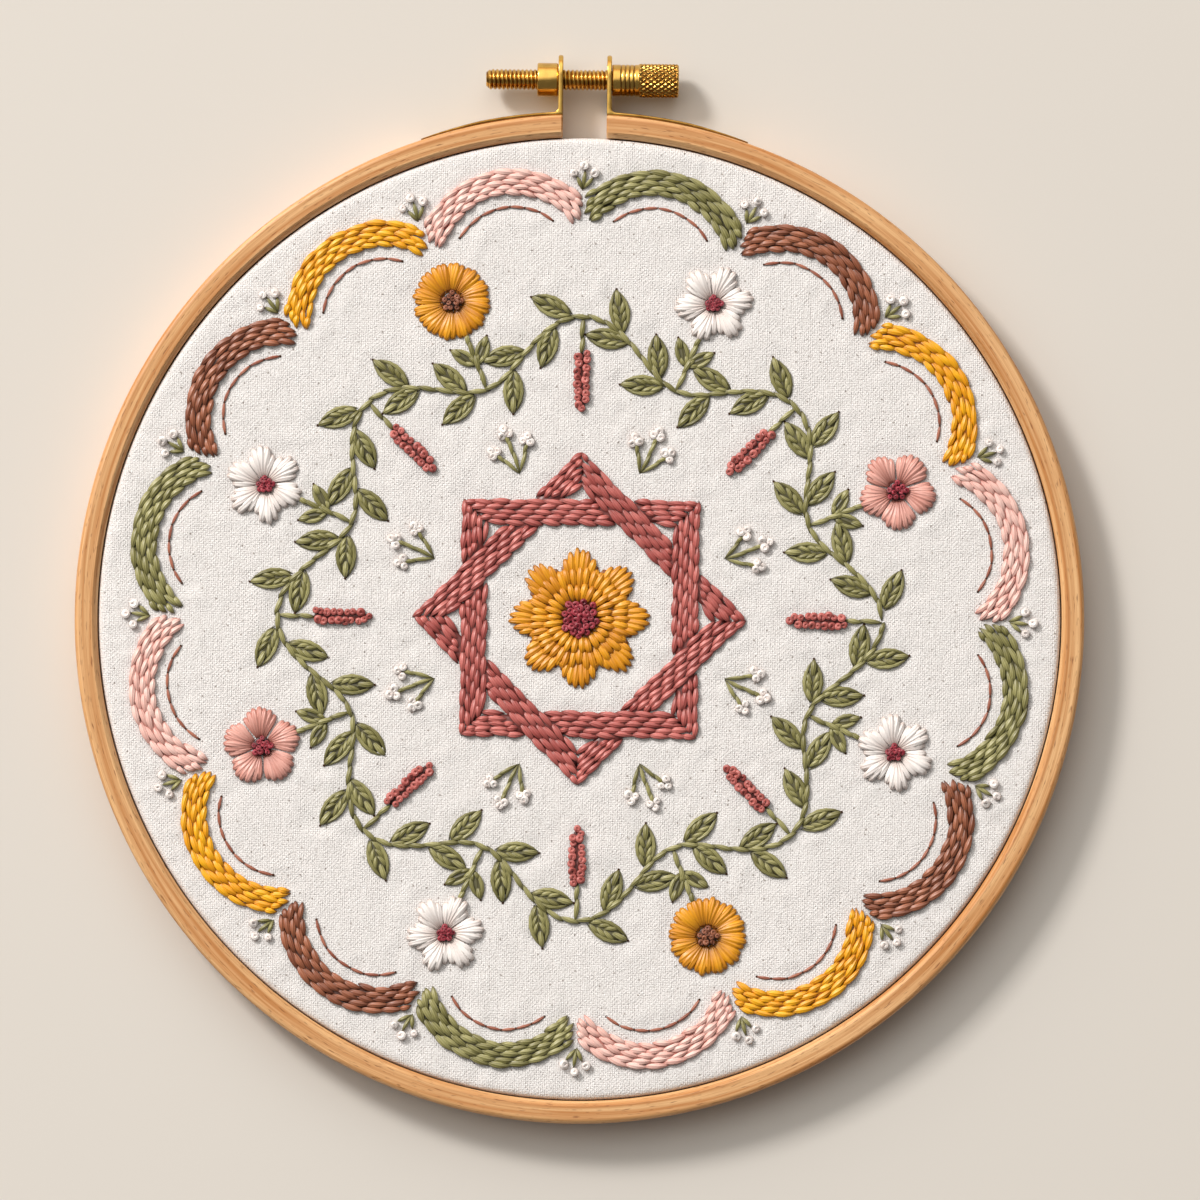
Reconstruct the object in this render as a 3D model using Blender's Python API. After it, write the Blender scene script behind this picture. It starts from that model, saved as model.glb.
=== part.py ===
"""An embroidered cloth stretched in a wooden hoop with a brass clamp screw, lying on its back.

Metres, +Z up, +Y towards the clamp. The origin is the middle of the whole object's footprint, on the
surface that it lies on, so the hoop's own centre lies a little below it, towards -Y.
The needlework is a symmetric wreath: an eight-pointed star, a vine with blossoms, and sixteen scallops.
"""

import math

import bmesh
import bpy
import numpy as np
from mathutils import Matrix, Vector

MM = 0.001
TURN = 2 * math.pi
CLEARANCE = 0.3 * MM  # between any two pieces

# Wooden rings: an eight-inch hoop, named by the cloth's width inside the outer ring.
HOOP_BORE_R = 100 * MM
OUTER_RING_WIDTH = 4.7 * MM
OUTER_RING_HEIGHT = 10 * MM
INNER_RING_WIDTH = 5 * MM
INNER_RING_HEIGHT = 8 * MM
TOP_EDGE_ROUND = 1.1 * MM
LOW_EDGE_ROUND = 0.5 * MM
INNER_EDGE_ROUND = 0.7 * MM
RING_STEPS = 92  # a multiple of 4, so that the ring reaches its full size along X and Y
OUTER_RING_R = HOOP_BORE_R + OUTER_RING_WIDTH

# Cloth, over the inner ring's top and down between the rings.
CLOTH_THICKNESS = 1 * MM
CLOTH_OUTER_R = HOOP_BORE_R - CLEARANCE
CLOTH_INNER_R = CLOTH_OUTER_R - CLOTH_THICKNESS
CLOTH_TOP = INNER_RING_HEIGHT + CLEARANCE + CLOTH_THICKNESS
CLOTH_HEM_Z = 0.6 * MM
CLOTH_SHOULDER_R = 1.2 * MM
CLOTH_CREASE = 0.4 * MM
INNER_RING_R = CLOTH_INNER_R - CLEARANCE

# Brass clamp. The screw runs along X, over the gap in the outer ring.
RING_GAP = 9.1 * MM
SCREW_OVER_RING = 7.4 * MM
SCREW_Y = OUTER_RING_R + SCREW_OVER_RING
SCREW_Z = OUTER_RING_HEIGHT / 2
LUG_THICKNESS = 1 * MM
LUG_TIP_OVER_SCREW = 5.2 * MM
LUG_TIP_Y = SCREW_Y + LUG_TIP_OVER_SCREW
LUG_END_FLAT = 0.05 * MM
BRACKET_WIDTH = 8 * MM
STRIP_THICKNESS = 0.5 * MM
STRIP_LENGTH = 30 * MM
STRIP_STEPS = 8
BEND_R = 1 * MM
THREAD_R = 2.15 * MM
THREAD_ROOT_R = 1.8 * MM
THREAD_PITCH = 0.87 * MM
THREAD_SIDES = 12
BORE_R = THREAD_R + CLEARANCE
BORE_SIDES = 16
NUT_R = 3.5 * MM
NUT_LENGTH = 4.1 * MM
NUT_ROUND = 0.35 * MM
NUT_SIDES = 20
ROD_PAST_NUT = 10.6 * MM
COLLAR_R = 3.25 * MM
COLLAR_LENGTH = 5.5 * MM
COLLAR_CHAMFER = 0.4 * MM
KNURL_R = 3.5 * MM
KNURL_DEPTH = 0.3 * MM
KNURL_LENGTH = 8.1 * MM
KNURL_TEETH = 20
PAST = 2 * MM  # how far a cutter runs past what it cuts

LUG_INSIDE_X = RING_GAP / 2
LUG_OUTSIDE_X = LUG_INSIDE_X + LUG_THICKNESS
NUT_X = -LUG_OUTSIDE_X - CLEARANCE
ROD_END_X = NUT_X - NUT_LENGTH - ROD_PAST_NUT
HEAD_X = LUG_OUTSIDE_X + CLEARANCE
KNURL_X = HEAD_X + COLLAR_LENGTH

# The footprint's middle is the origin, so the hoop's centre moves down by half the clamp's overhang.
HOOP_CENTRE_Y = -(LUG_TIP_Y - OUTER_RING_R) / 2

# Needlework. All of it lies on the cloth, worked in rows of thread about 1.3 mm high.
WORK_Z = CLOTH_TOP + CLEARANCE
BAND_WIDTH = 5.4 * MM
BAND_RISE = 1 * MM
SHOULDER = 0.62  # how much of a band's or a petal's width the raised middle takes
PETAL_EDGE = 0.35  # how much of a petal's rise is its upright edge
PETAL_SHOULDER = 0.9  # how much of it is reached at the shoulder
NEAR_COPLANAR = 0.06 * MM  # keeps the bases of fused pieces off one plane

STAR_HALF_SIDE = 22 * MM
ROSETTE_R = 15 * MM
ROSETTE_NOTCH_R = 8.5 * MM
ROSETTE_PETALS = 8
EYE_R = 4.6 * MM
EYE_RISE = 1.3 * BAND_RISE
EYE_SIDES = 12

WAVES = 8
VINE_R = 57 * MM
VINE_SWING = 6 * MM
VINE_WIDTH = 1.5 * MM
VINE_RISE = 0.7 * MM
VINE_STEPS_A_WAVE = 10
LEAF_LENGTH = 9.5 * MM
LEAF_WIDTH = 4.2 * MM
LEAF_RISE = 0.8 * MM
LEAF_LEAN = math.radians(38)
# A leaf's outline as (share of its length, share of its width), and its ridge as shares of its length.
LEAF_SHAPE = ((0, 0), (0.28, 0.46), (0.68, 0.40), (1, 0), (0.68, -0.40), (0.28, -0.46))
LEAF_RIDGE = (0.25, 0.72)
# One row for each leaf of a wave: where it leaves the vine, as a share of the wave, and on which side.
LEAVES = (
    (0.04, 1),
    (0.12, -1),
    (0.26, 1),
    (0.34, -1),
    (0.56, -1),
    (0.60, 1),
    (0.78, -1),
    (0.82, 1),
)
STALK_LEAF_R = 56.5 * MM
STALK_LEAF_LENGTH = 6.5 * MM
STALK_LEAF_WIDTH = 3 * MM

BLOSSOM_R = 71 * MM
BLOSSOM_REACH = 8.2 * MM
# One row for each kind of blossom: name, petals, reach, reach between the petals, eye, colour.
BLOSSOMS = (
    ("wildrose", 5, BLOSSOM_REACH, 5.6 * MM, 2.6 * MM, "rose_pink_thread"),
    ("starflower", 6, BLOSSOM_REACH, 4.2 * MM, 2.2 * MM, "white_thread"),
    ("marigold", 12, BLOSSOM_REACH, 7.2 * MM, 2.6 * MM, "mustard_thread"),
    ("starflower", 6, BLOSSOM_REACH, 4.2 * MM, 2.2 * MM, "white_thread"),
)
EAR_NEAR_R = 55.5 * MM
EAR_LENGTH = 13 * MM
EAR_WIDTH = 4.2 * MM
EAR_SIDES = 10

SCALLOPS = 16
SCALLOP_ARC_R = 18 * MM
SCALLOP_CENTRE_R = 74 * MM
SCALLOP_COLOURS = ("rose_pink_thread", "mustard_thread", "chestnut_thread", "sage_thread")
SCALLOP_STEPS = 9

# Finishes: colour as sRGB hex, roughness, metallic.
FINISHES = {
    "pale_wood": ("D9A567", 0.5, 0.0),
    "brass": ("C9952C", 0.3, 1.0),
    "white_cloth": ("EFECE7", 0.9, 0.0),
    "dusty_rose_thread": ("B9535F", 0.6, 0.0),
    "rose_pink_thread": ("E2969A", 0.6, 0.0),
    "mustard_thread": ("DE9A14", 0.6, 0.0),
    "chestnut_thread": ("8A5648", 0.6, 0.0),
    "sage_thread": ("808450", 0.6, 0.0),
    "burgundy_thread": ("8C1E38", 0.6, 0.0),
    "white_thread": ("F4F1EC", 0.6, 0.0),
}


def linear(hex_colour):
    """sRGB hex to the linear values that a shader takes."""
    channels = [int(hex_colour[i : i + 2], 16) / 255 for i in (0, 2, 4)]
    return [c / 12.92 if c <= 0.04045 else ((c + 0.055) / 1.055) ** 2.4 for c in channels]


def make_finish(name):
    """The finish of that name, made once."""
    if name in bpy.data.materials:
        return bpy.data.materials[name]
    colour, roughness, metallic = FINISHES[name]
    finish = bpy.data.materials.new(name)
    finish.use_nodes = True
    shader = finish.node_tree.nodes["Principled BSDF"]
    shader.inputs["Base Color"].default_value = (*linear(colour), 1)
    shader.inputs["Roughness"].default_value = roughness
    shader.inputs["Metallic"].default_value = metallic
    return finish


def add_object(name, bm, finish, guide=False, sharp_degrees=35):
    """Puts a bmesh into the scene under the hoop's centre. A guide is left out of the model."""
    bmesh.ops.recalc_face_normals(bm, faces=bm.faces)
    mesh = bpy.data.meshes.new(name)
    bm.to_mesh(mesh)
    bm.free()
    mesh.shade_smooth()
    mesh.set_sharp_from_angle(angle=math.radians(sharp_degrees))
    obj = bpy.data.objects.new(name, mesh)
    bpy.context.scene.collection.objects.link(obj)
    obj.parent = hoop_centre
    if guide:
        obj.hide_render = True
        obj.display_type = "WIRE"
    else:
        mesh.materials.append(make_finish(finish))
    return obj


def join_or_cut(obj, operation, other):
    """A Boolean with the exact solver, kept as a modifier."""
    boolean = obj.modifiers.new(operation.lower() + "_" + other.name, "BOOLEAN")
    boolean.operation = operation
    boolean.solver = "EXACT"
    boolean.object = other


def polar(radius, angle):
    return Vector((radius * math.cos(angle), radius * math.sin(angle)))


def rounded_section(inner_r, outer_r, low_z, high_z, rounds):
    """A ring's section as (radius, z) points. rounds are the radii of its corners: low inner, low outer,
    high outer and high inner. A corner of radius 0 is one point, and another is three."""
    corners = (
        (inner_r, low_z, 1, 1, math.pi),
        (outer_r, low_z, -1, 1, 1.5 * math.pi),
        (outer_r, high_z, -1, -1, 0),
        (inner_r, high_z, 1, -1, 0.5 * math.pi),
    )
    points = []
    for (x, z, to_x, to_z, start), r in zip(corners, rounds):
        turns = (0, 0.5, 1) if r else (0,)
        for t in turns:
            angle = start + t * math.pi / 2
            points.append((x + to_x * r + r * math.cos(angle), z + to_z * r + r * math.sin(angle)))
    return points


def turned(section, steps, closed):
    """Spins (radius, z) points about Z. An open section starts and ends on the axis."""
    bm = bmesh.new()
    verts = [bm.verts.new((r, 0, z)) for r, z in section]
    pairs = list(zip(verts, verts[1:]))
    if closed:
        pairs.append((verts[-1], verts[0]))
    edges = [bm.edges.new(pair) for pair in pairs]
    bmesh.ops.spin(
        bm, geom=verts + edges, cent=(0, 0, 0), axis=(0, 0, 1), angle=TURN, steps=steps, use_merge=True
    )
    bmesh.ops.remove_doubles(bm, verts=bm.verts, dist=0.002 * MM)
    return bm


def turned_along_x(section, steps, closed=False):
    """The same with the axis along X, through the screw's centre. Points are (radius, x)."""
    bm = turned(section, steps, closed)
    lay_down = Matrix.Rotation(math.pi / 2, 4, "Y")
    bmesh.ops.transform(bm, matrix=Matrix.Translation((0, SCREW_Y, SCREW_Z)) @ lay_down, verts=bm.verts)
    return bm


def extruded(outline, travel):
    """A flat closed outline of 3-D points, extruded by the vector travel."""
    bm = bmesh.new()
    face = bm.faces.new([bm.verts.new(p) for p in outline])
    side = bmesh.ops.extrude_face_region(bm, geom=[face])["geom"]
    moved = [v for v in side if isinstance(v, bmesh.types.BMVert)]
    bmesh.ops.translate(bm, verts=moved, vec=travel)
    return bm


def band(bm, path, closed, width, rise, base_z):
    """Adds a raised band along a flat path: a low trapezoid section, mitred at each point."""
    points = np.array([p[:] for p in path])
    ahead = np.roll(points, -1, 0) - points
    back = points - np.roll(points, 1, 0)
    if not closed:
        ahead[-1], back[0] = back[-1], ahead[0]
    ahead /= np.linalg.norm(ahead, axis=1)[:, None]
    back /= np.linalg.norm(back, axis=1)[:, None]
    normal_ahead = np.stack([-ahead[:, 1], ahead[:, 0]], 1)
    normal_back = np.stack([-back[:, 1], back[:, 0]], 1)
    mitre = normal_ahead + normal_back
    mitre /= (mitre * normal_ahead).sum(1)[:, None]
    section = ((-0.5, 0), (-0.5 * SHOULDER, rise), (0.5 * SHOULDER, rise), (0.5, 0))
    rows = [
        [bm.verts.new((*(p + m * width * across), base_z + up)) for across, up in section]
        for p, m in zip(points, mitre)
    ]
    pairs = list(zip(rows, rows[1:]))
    if closed:
        pairs.append((rows[-1], rows[0]))
    for near, far in pairs:
        for i in range(4):
            j = (i + 1) % 4
            bm.faces.new((near[i], near[j], far[j], far[i]))
    if not closed:
        bm.faces.new(rows[0])
        bm.faces.new(rows[-1])


def dome(bm, outline, centre, rise, base_z):
    """Adds a low dome over a flat outline that can be seen whole from its centre."""
    edge = PETAL_EDGE * rise
    low = [bm.verts.new((*p, base_z)) for p in outline]
    rim = [bm.verts.new((*p, base_z + edge)) for p in outline]
    shoulder_z = base_z + PETAL_SHOULDER * rise
    high = [bm.verts.new((*centre.lerp(p, SHOULDER), shoulder_z)) for p in outline]
    top = bm.verts.new((*centre, base_z + rise))
    bm.faces.new(low)
    for i in range(len(outline)):
        j = (i + 1) % len(outline)
        bm.faces.new((low[i], low[j], rim[j], rim[i]))
        bm.faces.new((rim[i], rim[j], high[j], high[i]))
        bm.faces.new((high[i], high[j], top))


def leaf_outline(root, direction, length, width):
    """Six points: pointed at the root and the tip, widest a little before the middle."""
    along = polar(1, direction)
    across = Vector((-along.y, along.x))
    return [root + along * (length * s) + across * (width * t) for s, t in LEAF_SHAPE]


def ridge_leaf(bm, root, direction, length, width, rise, base_z):
    """Adds a leaf with a raised midrib."""
    outline = leaf_outline(root, direction, length, width)
    along = polar(length, direction)
    low = [bm.verts.new((*p, base_z)) for p in outline]
    near, far = (bm.verts.new((*(root + share * along), base_z + rise)) for share in LEAF_RIDGE)
    bm.faces.new(low)
    bm.faces.new((low[0], low[1], near))
    bm.faces.new((low[1], low[2], far, near))
    bm.faces.new((low[2], low[3], far))
    bm.faces.new((low[3], low[4], far))
    bm.faces.new((low[4], low[5], near, far))
    bm.faces.new((low[5], low[0], near))


def petal_outline(centre, petals, reach, notch, turn):
    """A flower's outline: round petal ends at reach, meeting in notches."""
    per_petal = 5 if petals < 10 else 3
    points = []
    for i in range(petals * per_petal):
        share = (i % per_petal) / per_petal
        swell = math.sin(math.pi * share) ** 0.6 if share else 0
        angle = turn + TURN * i / (petals * per_petal)
        points.append(centre + polar(notch + (reach - notch) * swell, angle))
    return points


def vine_point(share):
    """A point of the vine's middle line; share counts waves, and 0 is at +X on an outward crest."""
    angle = TURN * share / WAVES
    return polar(VINE_R + VINE_SWING * math.cos(TURN * share), angle)


# ---- wooden rings ----------------------------------------------------------------------------------


def build_rings():
    rounds = (0, LOW_EDGE_ROUND, TOP_EDGE_ROUND, TOP_EDGE_ROUND)
    section = rounded_section(HOOP_BORE_R, OUTER_RING_R, 0, OUTER_RING_HEIGHT, rounds)
    outer = add_object("outer_hoop", turned(section, RING_STEPS, True), "pale_wood")
    near, far = HOOP_BORE_R - PAST, OUTER_RING_R + PAST
    sides = ((-RING_GAP / 2, near), (RING_GAP / 2, near), (RING_GAP / 2, far), (-RING_GAP / 2, far))
    cutter = extruded([(x, y, -PAST) for x, y in sides], (0, 0, OUTER_RING_HEIGHT + 2 * PAST))
    join_or_cut(outer, "DIFFERENCE", add_object("gap_cutter", cutter, None, guide=True))
    rounds = (0, 0, INNER_EDGE_ROUND, INNER_EDGE_ROUND)
    section = rounded_section(INNER_RING_R - INNER_RING_WIDTH, INNER_RING_R, 0, INNER_RING_HEIGHT, rounds)
    add_object("inner_hoop", turned(section, RING_STEPS, True), "pale_wood")


# ---- cloth -----------------------------------------------------------------------------------------


def build_cloth():
    """A round cap: a drum-flat top, a rounded shoulder over the inner ring, and a hanging edge."""
    under = CLOTH_TOP - CLOTH_THICKNESS
    shoulder_r, shoulder_z = CLOTH_OUTER_R - CLOTH_SHOULDER_R, CLOTH_TOP - CLOTH_SHOULDER_R
    shoulder = [
        (shoulder_r + CLOTH_SHOULDER_R * math.sin(a), shoulder_z + CLOTH_SHOULDER_R * math.cos(a))
        for a in (0, math.pi / 4, math.pi / 2)
    ]
    section = [(0, CLOTH_TOP), *shoulder, (CLOTH_OUTER_R, CLOTH_HEM_Z), (CLOTH_INNER_R, CLOTH_HEM_Z)]
    section += [(CLOTH_INNER_R, under - CLOTH_CREASE), (CLOTH_INNER_R - CLOTH_CREASE, under), (0, under)]
    add_object("cloth", turned(section, RING_STEPS, False), "white_cloth")


# ---- brass clamp -----------------------------------------------------------------------------------


def bracket_outline():
    """The right-hand bracket from above: a thin strip round the ring's outer face, bent up into a lug of
    double thickness with a round tip. Points run once round it."""
    strip_in = OUTER_RING_R + CLEARANCE
    strip_out = strip_in + STRIP_THICKNESS
    near = math.pi / 2 - math.asin(LUG_INSIDE_X / strip_in)
    far = near - STRIP_LENGTH / strip_in
    inner = [polar(strip_in, a) for a in np.linspace(near, far, STRIP_STEPS + 1)]
    bend_x = LUG_OUTSIDE_X + BEND_R
    bend_start = math.acos(bend_x / strip_out)
    outer = [polar(strip_out, a) for a in np.linspace(far, bend_start, STRIP_STEPS + 1)]
    foot_y = outer[-1].y
    bend = [
        Vector((bend_x - BEND_R * math.sin(a), foot_y + BEND_R - BEND_R * math.cos(a)))
        for a in (math.pi / 6, math.pi / 3, math.pi / 2)
    ]
    half = LUG_THICKNESS / 2
    tip = [
        Vector((LUG_INSIDE_X + half + half * math.cos(a), LUG_TIP_Y - half + half * math.sin(a)))
        for a in (0, math.pi / 4, math.pi / 2, 3 * math.pi / 4, math.pi)
    ]
    return inner + outer + bend + tip


def build_bracket(name, side):
    """side is 1 on the right and -1 on the left."""
    low_z = (OUTER_RING_HEIGHT - BRACKET_WIDTH) / 2
    outline = [(side * p.x, p.y, low_z) for p in bracket_outline()]
    bracket = add_object(name, extruded(outline, (0, 0, BRACKET_WIDTH)), "brass")
    # The lug's end is round seen along the screw: the envelope keeps what lies inside that outline.
    half = BRACKET_WIDTH / 2
    round_end = [
        (LUG_TIP_Y - half + half * math.cos(a) + LUG_END_FLAT, SCREW_Z - half * math.sin(a))
        for a in np.linspace(-math.pi / 2, math.pi / 2, STRIP_STEPS + 1)
    ]
    reach = 2 * STRIP_LENGTH
    under, over = SCREW_Z - half - PAST, SCREW_Z + half + PAST
    near, far = HOOP_BORE_R / 2, SCREW_Y - NUT_R
    outline = [(near, under), (near, over), (far, over), *round_end, (far, under)]
    envelope = extruded([(-reach, y, z) for y, z in outline], (2 * reach, 0, 0))
    join_or_cut(bracket, "INTERSECT", add_object(name + "_envelope", envelope, None, guide=True))
    section = [(0, -reach), (BORE_R, -reach), (BORE_R, reach), (0, reach)]
    drill = add_object(name + "_drill", turned_along_x(section, BORE_SIDES), None, guide=True)
    join_or_cut(bracket, "DIFFERENCE", drill)


def build_screw():
    """One turned piece: threaded rod, plain collar and knurled thumb grip."""
    ridges = int((HEAD_X - ROD_END_X) / THREAD_PITCH)
    section = [(0, ROD_END_X), (THREAD_ROOT_R, ROD_END_X)]
    for i in range(ridges):
        x = ROD_END_X + THREAD_PITCH * i
        section += [(THREAD_R, x + THREAD_PITCH / 2), (THREAD_ROOT_R, x + THREAD_PITCH)]
    section += [(THREAD_ROOT_R, HEAD_X), (COLLAR_R - COLLAR_CHAMFER, HEAD_X)]
    section += [(COLLAR_R, HEAD_X + COLLAR_CHAMFER), (COLLAR_R, KNURL_X + PAST), (0, KNURL_X + PAST)]
    screw = add_object("thumb_screw", turned_along_x(section, THREAD_SIDES), "brass")
    points = 2 * KNURL_TEETH
    teeth = [polar(KNURL_R - KNURL_DEPTH * (i % 2), TURN * i / points) for i in range(points)]
    outline = [(KNURL_X, SCREW_Y + p.x, SCREW_Z + p.y) for p in teeth]
    grip = add_object("grip", extruded(outline, (KNURL_LENGTH, 0, 0)), None, guide=True)
    join_or_cut(screw, "UNION", grip)


def build_nut():
    """A plain round nut behind the left lug, with a running bore for the thread."""
    end = NUT_X - NUT_LENGTH
    section = [
        (BORE_R, end),
        (NUT_R - NUT_ROUND, end),
        (NUT_R, end + NUT_ROUND),
        (NUT_R, NUT_X - NUT_ROUND),
        (NUT_R - NUT_ROUND, NUT_X),
        (BORE_R, NUT_X),
    ]
    add_object("nut", turned_along_x(section, NUT_SIDES, closed=True), "brass")


# ---- needlework ------------------------------------------------------------------------------------


def build_star():
    """Two squares of banded stitching, one turned by an eighth of a turn, fused where they cross."""
    corner_r = STAR_HALF_SIDE * math.sqrt(2)
    squares = []
    for i in range(2):
        bm = bmesh.new()
        path = [polar(corner_r, TURN * (k / 4 + i / 8)) for k in range(4)]
        band(bm, path, True, BAND_WIDTH, BAND_RISE - i * NEAR_COPLANAR, WORK_Z + i * NEAR_COPLANAR)
        squares.append(bm)
    star = add_object("star", squares[0], "dusty_rose_thread")
    join_or_cut(star, "UNION", add_object("star_second_square", squares[1], None, guide=True))


def build_flower(name, centre, petals, reach, notch, eye, colour, eye_colour):
    """A flower round its eye: the petals are a ring, so the eye sits in its own hole."""
    bm = bmesh.new()
    # The middle of a petal faces the hoop's centre, where the stalk comes from.
    turn = math.atan2(-centre.y, -centre.x) - math.pi / petals
    dome(bm, petal_outline(centre, petals, reach, notch, turn), centre, BAND_RISE, WORK_Z)
    flower = add_object(name, bm, colour)
    bm = bmesh.new()
    around = [TURN * i / EYE_SIDES for i in range(EYE_SIDES)]
    outline = [(*(centre + polar(eye + CLEARANCE, a)), WORK_Z - PAST) for a in around]
    cutter = extruded(outline, (0, 0, BAND_RISE + 2 * PAST))
    join_or_cut(flower, "DIFFERENCE", add_object(name + "_hole", cutter, None, guide=True))
    bm = bmesh.new()
    dome(bm, [centre + polar(eye, a) for a in around], centre, EYE_RISE, WORK_Z)
    add_object(name + "_eye", bm, eye_colour)


def build_vine():
    """The stem is one closed wave. Leaves and stalks are fused into it."""
    bm = bmesh.new()
    steps = WAVES * VINE_STEPS_A_WAVE
    path = [vine_point(i / VINE_STEPS_A_WAVE) for i in range(steps)]
    band(bm, path, True, VINE_WIDTH, VINE_RISE, WORK_Z)
    vine = add_object("vine", bm, "sage_thread")
    leaves = bmesh.new()
    stalks = bmesh.new()
    base = WORK_Z + NEAR_COPLANAR
    for wave in range(WAVES):
        for share, side in LEAVES:
            root = vine_point(wave + share)
            ahead = vine_point(wave + share + 0.01) - root
            direction = math.atan2(ahead.y, ahead.x) - side * LEAF_LEAN
            ridge_leaf(leaves, root, direction, LEAF_LENGTH, LEAF_WIDTH, LEAF_RISE, base)
        dip = TURN * (wave + 0.5) / WAVES
        start, end = polar(VINE_R - VINE_SWING, dip), polar(BLOSSOM_R - BLOSSOM_REACH - CLEARANCE, dip)
        band(stalks, [start, end], False, VINE_WIDTH, VINE_RISE - NEAR_COPLANAR, base)
        root = polar(STALK_LEAF_R, dip)
        above = base + NEAR_COPLANAR
        for lean in (-LEAF_LEAN, LEAF_LEAN):
            ridge_leaf(leaves, root, dip + lean, STALK_LEAF_LENGTH, STALK_LEAF_WIDTH, VINE_RISE, above)
        crest = TURN * wave / WAVES
        start, end = polar(VINE_R + VINE_SWING, crest), polar(EAR_NEAR_R + CLEARANCE, crest)
        band(stalks, [start, end], False, VINE_WIDTH, VINE_RISE - NEAR_COPLANAR, base)
    join_or_cut(vine, "UNION", add_object("vine_stalks", stalks, None, guide=True))
    join_or_cut(vine, "UNION", add_object("vine_leaves", leaves, None, guide=True))


def build_blossoms():
    for i in range(WAVES):
        kind, petals, reach, notch, eye, colour = BLOSSOMS[i % len(BLOSSOMS)]
        centre = polar(BLOSSOM_R, TURN * (i + 0.5) / WAVES)
        eye_colour = "chestnut_thread" if kind == "marigold" else "burgundy_thread"
        build_flower(f"{kind}_{i + 1}", centre, petals, reach, notch, eye, colour, eye_colour)


def build_ears():
    """Seed heads on the inward stalks, each a long low mound."""
    for i in range(WAVES):
        inward = TURN * i / WAVES
        middle = polar(EAR_NEAR_R - EAR_LENGTH / 2, inward)
        along, across = polar(EAR_LENGTH / 2, inward), polar(EAR_WIDTH / 2, inward + TURN / 4)
        around = [TURN * k / EAR_SIDES for k in range(EAR_SIDES)]
        outline = [middle + along * math.cos(a) + across * math.sin(a) for a in around]
        bm = bmesh.new()
        dome(bm, outline, middle, BAND_RISE, WORK_Z)
        add_object(f"seed_head_{i + 1}", bm, "dusty_rose_thread")


def build_scallops():
    """Sixteen arcs that bulge outwards. Each stops where its outer corner nears its neighbour's."""
    reach = scallop_half_angle()
    for i in range(SCALLOPS):
        middle = TURN * (i + 0.5) / SCALLOPS
        centre = polar(SCALLOP_CENTRE_R, middle)
        path = [
            centre + polar(SCALLOP_ARC_R, middle + reach * (2 * k / SCALLOP_STEPS - 1))
            for k in range(SCALLOP_STEPS + 1)
        ]
        bm = bmesh.new()
        band(bm, path, False, BAND_WIDTH, BAND_RISE, WORK_Z)
        add_object(f"scallop_{i + 1}", bm, SCALLOP_COLOURS[i % len(SCALLOP_COLOURS)])


def scallop_half_angle():
    """The largest half angle of an arc whose outer edge stays clear of the line between two neighbours."""
    outer_r = SCALLOP_ARC_R + BAND_WIDTH / 2
    half_sector = TURN / SCALLOPS / 2
    steps = np.radians(np.arange(20, 90, 0.5))
    across = outer_r * np.sin(steps)
    along = SCALLOP_CENTRE_R + outer_r * np.cos(steps)
    clear = across < along * math.tan(half_sector) - CLEARANCE / math.cos(half_sector)
    return float(steps[clear][-1])


for old in list(bpy.data.objects):
    bpy.data.objects.remove(old)

hoop_centre = bpy.data.objects.new("hoop_centre", None)
hoop_centre.location = (0, HOOP_CENTRE_Y, 0)
bpy.context.scene.collection.objects.link(hoop_centre)

build_rings()
build_cloth()
build_bracket("bracket_right", 1)
build_bracket("bracket_left", -1)
build_screw()
build_nut()
build_star()
middle = Vector((0, 0))
rosette_sizes = (ROSETTE_PETALS, ROSETTE_R, ROSETTE_NOTCH_R, EYE_R)
build_flower("rosette", middle, *rosette_sizes, "mustard_thread", "burgundy_thread")
build_vine()
build_blossoms()
build_ears()
build_scallops()
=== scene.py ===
"""The looks of an embroidered cloth in a wooden hoop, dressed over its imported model.

The script follows the object as it is put together: the inner ring, the cloth over it, the needlework, the
outer ring that grips the cloth, and the brass clamp. The floor and the light come last. Shapes are worked out
in millimetres from the rings' centre, x to the right, y towards the clamp and z up from the surface that the
hoop lies on, and add_piece turns them into the frame's metres.
"""

import math

import bmesh
import bpy
import numpy as np
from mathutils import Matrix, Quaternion, Vector


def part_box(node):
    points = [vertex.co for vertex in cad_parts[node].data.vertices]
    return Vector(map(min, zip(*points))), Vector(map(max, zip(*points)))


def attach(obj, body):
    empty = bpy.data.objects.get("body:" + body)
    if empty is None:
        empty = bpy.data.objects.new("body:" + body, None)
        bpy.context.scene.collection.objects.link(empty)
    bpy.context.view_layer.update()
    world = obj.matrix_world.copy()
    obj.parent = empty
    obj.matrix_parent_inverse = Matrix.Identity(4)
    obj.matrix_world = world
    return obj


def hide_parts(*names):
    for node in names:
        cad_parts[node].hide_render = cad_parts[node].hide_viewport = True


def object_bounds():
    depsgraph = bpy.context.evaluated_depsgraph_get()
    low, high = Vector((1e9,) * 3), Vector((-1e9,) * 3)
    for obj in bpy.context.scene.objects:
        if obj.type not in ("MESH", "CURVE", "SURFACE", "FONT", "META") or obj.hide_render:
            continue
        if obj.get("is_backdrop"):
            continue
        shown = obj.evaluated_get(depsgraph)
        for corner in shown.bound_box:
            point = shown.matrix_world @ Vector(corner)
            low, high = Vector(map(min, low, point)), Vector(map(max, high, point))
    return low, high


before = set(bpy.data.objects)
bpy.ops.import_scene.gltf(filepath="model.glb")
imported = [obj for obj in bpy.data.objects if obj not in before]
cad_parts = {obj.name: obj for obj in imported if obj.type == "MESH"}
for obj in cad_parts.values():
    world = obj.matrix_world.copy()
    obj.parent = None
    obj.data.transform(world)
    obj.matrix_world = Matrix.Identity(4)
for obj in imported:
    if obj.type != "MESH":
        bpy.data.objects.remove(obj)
cad_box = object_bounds()

MM = 0.001
TURN = 2 * math.pi

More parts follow.
